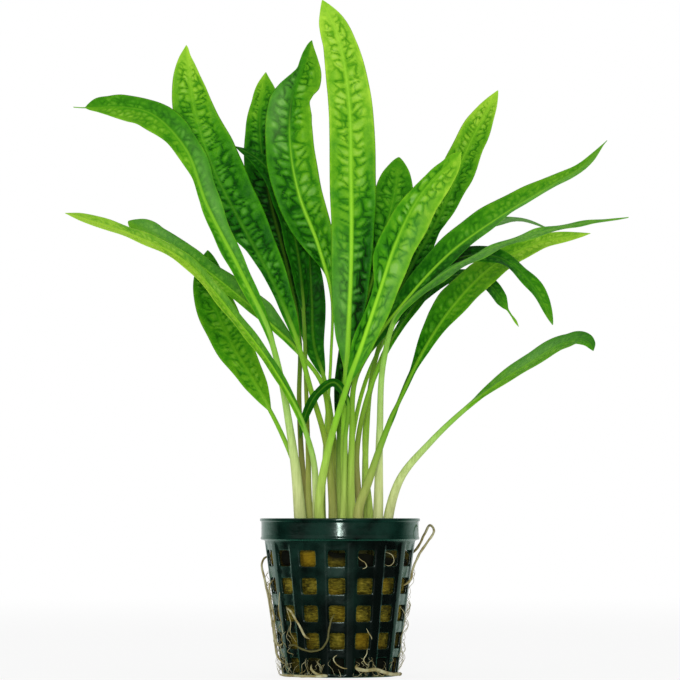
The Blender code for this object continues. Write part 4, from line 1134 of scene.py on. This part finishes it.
def fibrous(x, y, z):
    """Noise from -1 to 1 in four sizes, twice as long level as upright."""
    total = 0.0
    for size, strength in FIBRE_NOISE:
        total = total + strength * soft_noise(x / size / 2 + 9, y / size / 2 + 5, z / size + 3)
    return total


def window_share(angle, height):
    """1 in the middle of a window, 0 on the ribs and rings."""
    off = np.mod(np.degrees(angle) - COLUMN_SHIFT + COLUMN_HALF, 2 * COLUMN_HALF) - COLUMN_HALF
    up = np.min(np.abs(height[..., None] - WINDOW_CENTRES), axis=-1)
    return (1 - smoothstep(np.abs(off), *BULGE_SIDES)) * (1 - smoothstep(up, *BULGE_ENDS))


def wool_side(angle, height):
    """Radius of the plug's side: its own radius, a swelling in each window and fibrous noise."""
    radius = wool_radius(height)
    x, y = radius * np.cos(angle), radius * np.sin(angle)
    bulge = WINDOW_BULGE * window_share(angle, height)
    return radius + bulge + (ROUGH_WALL + ROUGHER_WINDOW * (bulge > 0)) * fibrous(x, y, height)


print("height of the plug over the pot's middle: %.1f mm" % wool_top(0.0, 0.0))

# %% Painted shade and golden places on the plug
# Rows of (angle, height, share): the first list is painted shade where the wool lies in shadow, the second
# golden wool.
SHADED_PLACES = [(-51, 40.4, 1.4), (-3, 44.0, 1.8), (21, 40.4, 2.2), (45, 42.0, 2.2), (69, 40.4, 1.2),
               (21, 44.0, 2.0), (45, 44.0, 2.0), (-51, 3.9, 0.3), (-27, 3.9, 1.1), (-3, 3.9, 2.2),
               (21, 3.9, 2.2), (45, 3.9, 2.2), (69, 3.9, 1.2), (69, 12.4, 0.5)]
GOLD_PLACES = [(-27, 40.4, 0.8), (21, 12.4, 0.6)]
STAIN_WIDTH, STAIN_HEIGHT = 11.0, 4.2


def spot_sum(points, places):
    """A sum of soft spots, each share exp(-(angle off / width)^2 - (way up / height)^2). The angle of a
    place is counted in degrees from the front, towards +X."""
    x, y, z = points.T
    turn = np.degrees(np.arctan2(x, -y))
    return sum(share * np.exp(-((turn - angle) / STAIN_WIDTH)**2 - ((z - height) / STAIN_HEIGHT)**2)
               for angle, height, share in places)


def painted_shade_and_gold(points):
    """How much painted shade and how much gold each point has."""
    return dict(painted_shade=spot_sum(points, SHADED_PLACES), gold=spot_sum(points, GOLD_PLACES))


print("stained places:", len(SHADED_PLACES), "damp and", len(GOLD_PLACES), "golden")


# %% The plug's mesh
PLUG_EDGE = 0.3
TOP_EDGE = 0.6
TOP_ROUGHNESS = 0.5


def make_wool(material):
    """Rings up the side from the bottom's edge, then inwards over the top, with both centres as points."""
    angle = np.arange(WOOL_AROUND) * 2 * math.pi / WOOL_AROUND
    edge = wool_top(wool_radius(WOOL_TOP) * np.cos(angle), wool_radius(WOOL_TOP) * np.sin(angle))
    t = np.linspace(0.0, 1.0, WOOL_SIDE_ROWS)[:, None]
    height = WOOL_BOTTOM + PLUG_EDGE + (edge - TOP_EDGE - WOOL_BOTTOM - PLUG_EDGE) * t
    radius = wool_side(angle + 0 * t, height)
    side = around_axis(radius, angle, height)
    inward = np.linspace(0.985, 0.02, WOOL_TOP_ROWS)[:, None]
    x, y = inward * wool_radius(edge) * np.cos(angle), inward * wool_radius(edge) * np.sin(angle)
    top = np.stack([x, y, wool_top(x, y) + TOP_ROUGHNESS * fibrous(x, y, 40.0 + 0 * x)], axis=-1)
    start = around_axis(0.9 * radius[:1], angle, WOOL_BOTTOM)
    rings = np.concatenate([start, side, top])
    ends = np.array([[0, 0, WOOL_BOTTOM], [0, 0, top[-1, :, 2].mean()]])
    faces = tube_faces(len(rings), WOOL_AROUND)[:, ::-1]
    faces = np.where(faces[:, :1] < 0, np.roll(faces, -1, axis=1), faces)
    points = np.concatenate([rings.reshape(-1, 3), ends])
    wool = add_piece("fine_rock_wool", points, faces, material, painted_shade_and_gold(points))
    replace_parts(wool, "rock_wool")
    print("plug:", len(points), "points")


# %% Loose fibres
FIBRES = 2600
FIBRE_POINTS = 6
FIBRE_RADIUS = 0.05
FIBRE_SHORTEST, FIBRE_LONGER = 1.5, 5.0
FIBRE_SLOPE, FIBRE_BEND = 1.6, 1.2
FIBRE_LOWEST, FIBRE_HIGHER = 2.2, 36.5
FIBRE_LIFT, FIBRE_BOW = 0.08, 0.25
ARC_RADIUS = 22.0


def make_fibres(material):
    """Prisms with three sides along short curved lines on the plug's side. A line starts at a scattered
    place, runs mostly level, and lies just above the surface."""
    n = np.arange(FIBRES)
    t = np.linspace(-0.5, 0.5, FIBRE_POINTS)
    slope = (scatter(n, 3, 1) - 0.5) * FIBRE_SLOPE
    length = FIBRE_SHORTEST + FIBRE_LONGER * scatter(n, 4, 1)**2
    bend = (scatter(n, 5, 1) - 0.5) * FIBRE_BEND
    height = FIBRE_LOWEST + FIBRE_HIGHER * scatter(n, 2, 1)[:, None]
    height = height + (slope * length)[:, None] * t + bend[:, None] * t**2
    angle = 2 * math.pi * scatter(n, 1, 1)[:, None] + length[:, None] * t / ARC_RADIUS
    bow = FIBRE_BOW * scatter(n, 6, 1)[:, None] * (1 - (2 * t)**4)
    radius = wool_side(angle, height) + FIBRE_LIFT + bow
    line = around_axis(radius, angle, height)
    along = unit(np.gradient(line, axis=1))
    out = unit(line * (1, 1, 0))
    side = unit(np.cross(along, out))
    out = np.cross(side, along)
    corner = np.arange(3) * 2 * math.pi / 3
    thick = FIBRE_RADIUS * (0.5 + scatter(n, 7, 1))[:, None, None, None]
    rings = line[:, :, None] + thick * (side[:, :, None] * np.cos(corner)[:, None]
                                        + out[:, :, None] * np.sin(corner)[:, None])
    points = np.concatenate([rings.reshape(FIBRES, -1, 3), line[:, :1], line[:, -1:]], axis=1)
    faces = tube_faces(FIBRE_POINTS, 3)
    faces = np.where(faces < 0, -1, faces + (n * points.shape[1])[:, None, None]).reshape(-1, 4)
    tint = np.repeat(scatter(n, 8, 1), points.shape[1])
    points = points.reshape(-1, 3)
    add_piece("loose_fibres", points, faces, material, {"tint": tint, **painted_shade_and_gold(points)})
    print("loose fibres:", FIBRES, "with", len(points), "points")


# %% [markdown]
# ## The wool's finish
#
# Wet rock wool is a muddy yellow brown, golden where it has dried. In the windows where it lies in shadow it
# is painted nearly black, a painted shade. One even colour with a rough normal would look like clay. What
# makes it read as fibre is that the colour runs in fine level streaks, so the same grain is laid on twice,
# once in patches and once squeezed flat along the height. The places of painted shade and the golden places
# come from the mesh, and each loose fibre has its own tint.

# %% Wool finish
WOOL_COLOURS = [(0.0, (0.005, 0.005, 0.0005)), (0.35, (0.040, 0.036, 0.0025)), (0.6, (0.120, 0.100, 0.006)),
                (1.0, (0.30, 0.24, 0.03))]
WOOL_GOLD = (0.26, 0.160, 0.003, 1.0)
WOOL_PAINTED_SHADE = (0.004, 0.005, 0.002, 1.0)


def wool_material():
    """Stained fibre: patches of brown and yellow, fine level streaks, and painted shade where the wool lies
    in shadow.
    """
    material, tree, shader = new_material("soaked_wool", Roughness=0.85, Specular_IOR_Level=0.1)
    place = own_place(tree)
    patches = put_group(tree, grain, {"Place": place, "Size": 160.0, "Depth": 0.0004})
    level = put(tree, "ShaderNodeMapping", {"Vector": place, "Scale": (0.4, 0.4, 1.6)}).outputs["Vector"]
    streaks = put_group(tree, grain, {"Place": level, "Size": 1500.0, "Depth": 0.0003})
    value = add_up(tree, times(tree, patches["Mottle"], 0.8), times(tree, streaks["Mottle"], 0.9))
    value = add_up(tree, ramp(tree, value, 0.5, 1.2), times(tree, attribute(tree, "tint"), 0.3))
    wide = put_group(tree, grain, {"Place": place, "Size": 70.0, "Depth": 0.0})
    golden = ramp(tree, wide["Mottle"], 0.5, 0.68, 0.0, 0.5)
    golden = times(tree, maths(tree, "MAXIMUM", golden, attribute(tree, "gold")), 0.8)
    colour = mix(tree, golden, colour_ramp(tree, value, WOOL_COLOURS), WOOL_GOLD)
    # Painted shade: the wool goes near black where the mesh marks it as shaded.
    colour = mix(tree, maths(tree, "MINIMUM", attribute(tree, "painted_shade"), 1.0), colour, WOOL_PAINTED_SHADE)
    connect(tree, shader.inputs, Base_Color=colour, Normal=streaks["Normal"])
    return material


soaked = wool_material()
make_wool(soaked)
make_fibres(soaked)

# %% [markdown]
# ## Roots
#
# Cream roots have grown out through the windows and cling to the wall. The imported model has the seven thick
# ones. Here each follows the same line with an uneven thickness and a slight waver. Finer rootlets and
# short hairs, which are too thin for a solid of their own, join them in one mesh. A bevelled curve would
# give an even tube. Here a root is a tube of rings along a path: its first ring's direction is carried from
# ring to ring, so that the tube never twists. A route's places are (degrees from the front, height,
# distance out from the wall).

# %% Where the roots go
ROOTS = {
    "root_right_loop": dict(
        width=1.0,
        route=[(117, 40.4, -0.6), (111, 42.5, 2.0), (102, 48.5, 3.6), (94, 51.6, 4.4), (87, 49.6, 6.0),
               (82, 46.0, 4.6), (79, 41.5, 2.2), (77, 36.6, 1.0), (72, 32.2, 0.7), (69, 31.0, -0.7)]),
    "root_front_left": dict(
        width=0.9, fresh=0.6,
        route=[(-52, 22.8, -0.7), (-49.5, 23.4, 0.6), (-45, 22.6, 0.9), (-40, 19.6, 0.9), (-35, 16.6, 0.9),
               (-31.5, 14.0, 0.8), (-29, 13.0, -0.6)]),
    "root_front_curve": dict(
        width=0.75, fresh=0.0,
        route=[(-55, 11.6, -0.7), (-52, 10.8, 0.6), (-43.5, 11.0, 0.9), (-35, 9.6, 0.9), (-27, 9.0, 0.9),
               (-18, 9.6, 0.9), (-12, 12.0, 0.9), (-9.2, 16.5, 0.9), (-7, 20.2, 0.5), (-5, 21.6, -0.6)]),
    "root_low_right": dict(
        width=1.4,
        route=[(17, 4.6, -0.6), (15.5, 3.4, 0.8), (22, 2.6, 1.2), (34, 2.7, 1.2), (44, 1.8, 1.3),
               (54, 1.0, 1.6), (66, 0.9, 1.5), (80, 0.9, 1.4)]),
    "root_left_outer": dict(
        width=0.9,
        route=[(-101, 41.0, -0.7), (-98, 40.6, 0.8), (-93, 38.6, 2.0), (-89, 33.0, 1.7), (-91, 26.0, 1.3),
               (-87, 19.0, 1.0), (-88, 12.0, 1.0), (-82, 7.0, 0.9), (-77, 4.2, -0.5)]),
    "root_left_inner": dict(
        width=0.8,
        route=[(-77, 33.0, -0.7), (-75, 31.6, 0.7), (-78, 27.0, 1.0), (-75, 20.0, 0.9), (-79, 14.0, 0.9),
               (-73, 10.6, 0.6), (-71, 11.4, -0.7)]),
    "root_foot_left": dict(
        width=1.0,
        route=[(-29, 4.4, -0.6), (-27.5, 3.0, 0.8), (-22, 1.4, 1.2), (-12, 0.8, 1.6), (-20, 0.6, 3.4),
               (-32, 0.6, 2.4), (-44, 0.6, 1.6), (-58, 0.6, 1.4), (-70, 0.6, 2.0)]),
}
FINE_ROOTS = [
    (0.35, [(-55, 24.0, -0.6), (-50, 22.0, 0.5), (-47, 18.5, 0.6), (-49, 15.0, 0.5), (-46, 12.0, -0.6)]),
    (0.40, [(27, 10.0, -0.8), (25, 8.2, 0.5), (22, 6.0, 0.6), (26, 4.4, 0.6), (31, 4.9, -0.7)]),
    (0.45, [(24, 17.0, -0.7), (26, 15.2, 0.5), (29, 13.6, 0.5), (31, 12.6, -0.7)]),
    (0.45, [(-2, 8.0, -0.7), (-6, 6.6, 0.6), (-3, 4.6, 0.6), (3, 3.4, 0.7), (9, 3.2, -0.6)]),
    (0.30, [(-62, 30.0, -0.6), (-60, 27.0, 0.6), (-63, 22.0, 0.6), (-61, 17.0, 0.6), (-66, 13.0, -0.6)]),
    (0.30, [(66, 24.0, -0.6), (69, 22.0, 0.7), (74, 18.0, 0.8), (70, 13.0, 0.7), (73, 9.0, 0.8),
            (78, 6.0, -0.6)]),
    (0.35, [(150, 33.0, -0.6), (152, 30.0, 0.8), (158, 24.0, 0.8), (154, 17.0, 0.7), (160, 12.0, 0.7),
            (157, 9.0, -0.6)]),
    (0.45, [(205, 24.0, -0.6), (203, 21.0, 0.8), (196, 16.0, 0.9), (199, 10.0, 0.8), (190, 6.0, 0.8),
            (186, 3.2, -0.6)]),
    (0.32, [(14, 41.6, -1.6), (16, 40.0, -0.6), (20, 38.9, -0.3), (21.5, 37.6, -0.3), (18, 37.0, -0.6),
            (14, 37.4, -1.6)]),
    (0.30, [(40, 42.6, -1.6), (45, 41.6, -0.4), (48, 39.4, -0.3), (44, 37.9, -0.6), (40, 38.4, -1.6)]),
    (0.30, [(246, 15.0, -0.6), (243, 12.0, 0.7), (236, 9.0, 0.8), (231, 5.0, 0.7), (222, 3.6, -0.6)]),
]
print("roots:", len(ROOTS), "thick and", len(FINE_ROOTS), "fine")

# %% A tube along a path
ROOT_AROUND = 12
ROOT_STEP = 0.35
SHIVER, SHIVER_LENGTH = 0.12, 2.3
FULLNESS, UNEVEN, UNEVEN_LENGTH = 0.86, 0.2, 1.7
TIP_SHARE, TIP_LENGTH = 0.35, 3.0
FIRST_SIDE = (0.3, 0.2, 1.0)


def tube_along(line, radius, around):
    """Rings at angle a around a path: p = path + radius (n cos a - b sin a), with the normal n carried
    along the path and b square to both."""
    along = unit(np.gradient(line, axis=0))
    normal = np.empty_like(line)
    normal[0] = unit(np.cross(along[0], FIRST_SIDE))
    for k in range(1, len(line)):
        normal[k] = unit(normal[k - 1] - along[k] * np.dot(normal[k - 1], along[k]))
    across = np.cross(along, normal)
    angle = (np.arange(around) * 2 * math.pi / around)[:, None]
    outward = normal[:, None] * np.cos(angle) - across[:, None] * np.sin(angle)
    rings = line[:, None] + radius[:, None, None] * outward
    return np.concatenate([rings.reshape(-1, 3), line[:1], line[-1:]]), tube_faces(len(line), around)


def root_tube(route, width, seed, around):
    """A root on the wall: its path shivers, and its thickness wavers and tapers to both ends."""
    turn, height, out = np.array(route, float).T
    line, at = smooth_line(around_axis(wall_radius(height) + out, np.radians(turn - 90.0), height))
    steps = np.linspace(0.0, at[-1], int(at[-1] / ROOT_STEP))
    line = read_between(steps, at, line)
    shivers = [soft_noise(steps / SHIVER_LENGTH, axis + 0.5, seed) for axis in range(3)]
    line = line + SHIVER * np.stack(shivers, axis=1)
    thick = width / 2 * (FULLNESS + UNEVEN * soft_noise(steps / UNEVEN_LENGTH, 0.5, seed + 0.5))
    ends = np.minimum(1.0, TIP_SHARE + np.minimum(steps, at[-1] - steps) / TIP_LENGTH)
    return tube_along(line, thick * ends, around)


print("points around a root:", ROOT_AROUND)

# %% [markdown]
# ## The roots' finish
#
# A young root is cream and goes tan where it has dried, and an old one is a dull olive. Each root could have
# a material of its own, but then the rootlets would need many. One material reads how fresh its root is from
# the mesh, and mottles the cream with tan by the fine grain.

# %% Root finish
ROOT_CREAM = (0.58, 0.57, 0.34, 1.0)
ROOT_TAN = (0.30, 0.24, 0.08, 1.0)
ROOT_OLD = (0.085, 0.080, 0.014, 1.0)
FRESH = 0.62


def root_material():
    """Matt cream that turns tan in patches, mixed with an old root's olive by its fresh share."""
    material, tree, shader = new_material("root_cream", Roughness=0.6)
    skin = put_group(tree, grain, {"Place": own_place(tree), "Size": 450.0, "Depth": 0.00015})
    colour = mix(tree, ramp(tree, skin["Mottle"], 0.36, 0.6), ROOT_CREAM, ROOT_TAN)
    colour = mix(tree, attribute(tree, "fresh"), ROOT_OLD, colour)
    connect(tree, shader.inputs, Base_Color=colour, Normal=skin["Normal"])
    return material


cream = root_material()
for seed, (name, root) in enumerate(ROOTS.items()):
    points, faces = root_tube(root["route"], root["width"], seed, ROOT_AROUND)
    fresh = np.full(len(points), root.get("fresh", FRESH))
    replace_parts(add_piece("fine_" + name, points, faces, cream, {"fresh": fresh}), name)
print("thick roots dressed:", len(ROOTS))

# %% Rootlets and hairs
HAIR_PLACES = [(-88, 20.0, 9.0, 17.0, 46), (88, 22.0, 8.0, 17.0, 34), (-58, 12.0, 14.0, 8.0, 18),
               (35, 5.0, 24.0, 3.5, 22), (-20, 4.0, 18.0, 3.0, 16), (180, 16.0, 60.0, 14.0, 50)]
HAIR_THINNEST, HAIR_THICKEST = 0.10, 0.24
HAIR_POINTS = 5
HAIR_SHORTEST, HAIR_LONGER = 2.5, 5.0
HAIR_SLOPE, HAIR_WANDER, HAIR_BOW = 14, 5, 1.2
LOWEST_START, LOWEST_HAIR = 2.0, 0.5
ROOTLET_SEED = 20


def hair_route(n, angle, height, wide, high):
    """The width and the route of hair number n, from around a place that is so wide and high. The route
    wanders down, and its distance out is bow sin(pi min(1, 1.15 t)) + 0.3 t - 0.6 for t from 0 to 1."""
    slope = HAIR_SLOPE * (scatter(n, 3, 9) - 0.5)
    wander = HAIR_WANDER * (scatter(n, np.arange(HAIR_POINTS), 5) - 0.5)
    turn = angle + wide * (2 * scatter(n, 1, 9) - 1)
    up = max(LOWEST_START, height + high * (2 * scatter(n, 2, 9) - 1))
    t = np.linspace(0.0, 1.0, HAIR_POINTS)
    length = HAIR_SHORTEST + HAIR_LONGER * scatter(n, 4, 9)
    bow = (HAIR_BOW + scatter(n, 5, 9)) * np.sin(math.pi * np.minimum(1.0, 1.15 * t))
    width = HAIR_THINNEST + (HAIR_THICKEST - HAIR_THINNEST) * scatter(n, 6, 9)
    heights = np.maximum(LOWEST_HAIR, up - length * t)
    return width, np.stack([turn + slope * t + wander, heights, bow + 0.3 * t - 0.6], axis=1)


places = [place[:4] for place in HAIR_PLACES for _ in range(place[4])]
hairs = [hair_route(n + 1, *place) for n, place in enumerate(places)]
points, faces = joined([root_tube(route, width, seed + ROOTLET_SEED, ROOT_AROUND // 2)
                        for seed, (width, route) in enumerate(FINE_ROOTS + hairs)])
add_piece("rootlets", points, faces, cream, {"fresh": np.full(len(points), FRESH)})
print(len(FINE_ROOTS), "rootlets and", len(hairs), "hairs with", len(points), "points")

# %% [markdown]
# ## Floor and light
#
# The photograph is lit from all around in a white room, with one soft light beside the camera: the pot has
# a narrow highlight down its middle and pale edges where it mirrors the room. The floor is a disc of pale
# card that is so large that its edge lies on the horizon, where it takes the room's own white.
#
# A pot in a room that is white everywhere mirrors it everywhere and looks grey. In the photograph its
# front is dark, as in a real room that is dark around the camera. Black boards beside the camera would do
# the same, but they would shade the leaves too. So both the floor and the room tell a mirrored ray from
# the others. It sees a floor that is dark in front of the plant, and a room that is dim in front, nearly
# black at the sides and white behind. Matt surfaces are lit by a soft white, and the eye sees plain white.

# %% Stage
FLOOR_RADIUS = 40.0
FLOOR_DROP = 0.02
NEAR_RADIUS = 0.4
FAR_RADIUS = 1.6
ROOM_WHITE = 1.0
ROOM_ON_SURFACES = 0.74
FLOOR_GLOW = 0.84
FLOOR_MIRRORED_FRONT, FLOOR_MIRRORED_BACK = 0.01, 0.9
CARD_WHITE = (0.86, 0.86, 0.85, 1.0)

scene = bpy.context.scene
scene.view_settings.view_transform = "Standard"

floor_mesh = bpy.data.meshes.new("floor")
turn = np.linspace(0.0, 2 * math.pi, 64, endpoint=False)
rim = np.stack([np.cos(turn), np.sin(turn), 0 * turn], axis=1) * FLOOR_RADIUS
rim[:, 2] = -FLOOR_DROP * MM
floor_mesh.from_pydata(rim.tolist(), [], [tuple(range(len(rim)))])
floor = bpy.data.objects.new("floor", floor_mesh)
scene.collection.objects.link(floor)

card, tree, shader = new_material("pale_card", Roughness=0.7, Base_Color=CARD_WHITE)
place = own_place(tree)
away = put(tree, "ShaderNodeVectorMath", {0: place}, operation="LENGTH").outputs["Value"]
behind = maths(tree, "DIVIDE", put(tree, "ShaderNodeSeparateXYZ", {0: place}).outputs["Y"], away)
glossy = put(tree, "ShaderNodeLightPath").outputs["Is Glossy Ray"]
mirrored = ramp(tree, behind, 0.22, 0.6, FLOOR_MIRRORED_FRONT, FLOOR_MIRRORED_BACK)
white = put(tree, "ShaderNodeMix", {0: glossy, 2: ROOM_WHITE, 3: mirrored}).outputs[0]
glow = put(tree, "ShaderNodeEmission", {"Strength": white})
far = put(tree, "ShaderNodeMapRange", {0: away, 1: NEAR_RADIUS, 2: FAR_RADIUS, 3: FLOOR_GLOW, 4: 1.0},
          interpolation_type="SMOOTHSTEP")
share = maths(tree, "MAXIMUM", far.outputs[0], glossy)
both = put(tree, "ShaderNodeMixShader", {0: share, 1: shader.outputs[0], 2: glow.outputs[0]})
connect(tree, tree.nodes["Material Output"].inputs, Surface=both.outputs[0])
floor_mesh.materials.append(card)
print("floor: a disc of %d m radius" % FLOOR_RADIUS)

# %% Room light
MIRRORED_ROOM = [(0.0, 0.2), (0.36, 0.2), (0.44, 0.01), (0.62, 0.01), (0.70, 0.2), (0.85, 0.65), (1.0, 1.0)]
MIRRORED_LEFT = 0.09

world = bpy.data.worlds.new("white_room")
scene.world = world
world.use_nodes = True
world.cycles.sampling_method = "NONE"
tree = world.node_tree
rays = put(tree, "ShaderNodeLightPath").outputs
direction = put(tree, "ShaderNodeTexCoord").outputs["Generated"]
axes = put(tree, "ShaderNodeSeparateXYZ", {0: direction}).outputs
greys = [(at, (value,) * 3) for at, value in MIRRORED_ROOM]
mirrored = colour_ramp(tree, ramp(tree, axes["Y"], -1.0, 1.0), greys)
left = times(tree, ramp(tree, axes["X"], -0.15, -0.6), ramp(tree, axes["Y"], 0.0, -0.3, 0.0, MIRRORED_LEFT))
seen = mix(tree, rays["Is Glossy Ray"], (ROOM_WHITE,) * 3 + (1.0,), add_up(tree, mirrored, left))
lit = mix(tree, rays["Is Diffuse Ray"], seen, (ROOM_ON_SURFACES,) * 3 + (1.0,))
connect(tree, tree.nodes["Background"].inputs, Color=lit)
print("room: mirrored brightness at", len(MIRRORED_ROOM), "directions")


# %% Lamps
def add_lamp(name, place, aim, size, watts):
    """A rectangular lamp whose face looks at the aim, with lengths in metres."""
    data = bpy.data.lights.new(name, "AREA")
    data.shape = "RECTANGLE"
    data.size, data.size_y = size
    data.energy = watts
    lamp = bpy.data.objects.new(name, data)
    lamp.location = place
    away = np.subtract(place, aim)
    flat = math.hypot(away[0], away[1])
    lamp.rotation_euler = (math.atan2(flat, away[2]), 0.0, math.atan2(away[0], -away[1]))
    scene.collection.objects.link(lamp)
    return lamp


LAMP_PLACE, LAMP_AIM, LAMP_SIZE, LAMP_WATTS = (-0.02, -1.2, 0.21), (0.0, 0.0, 0.1), (0.095, 0.47), 6.6
key = add_lamp("lamp_beside_camera", LAMP_PLACE, LAMP_AIM, LAMP_SIZE, LAMP_WATTS)
print("lamp turned to", [round(math.degrees(turn)) for turn in key.rotation_euler])
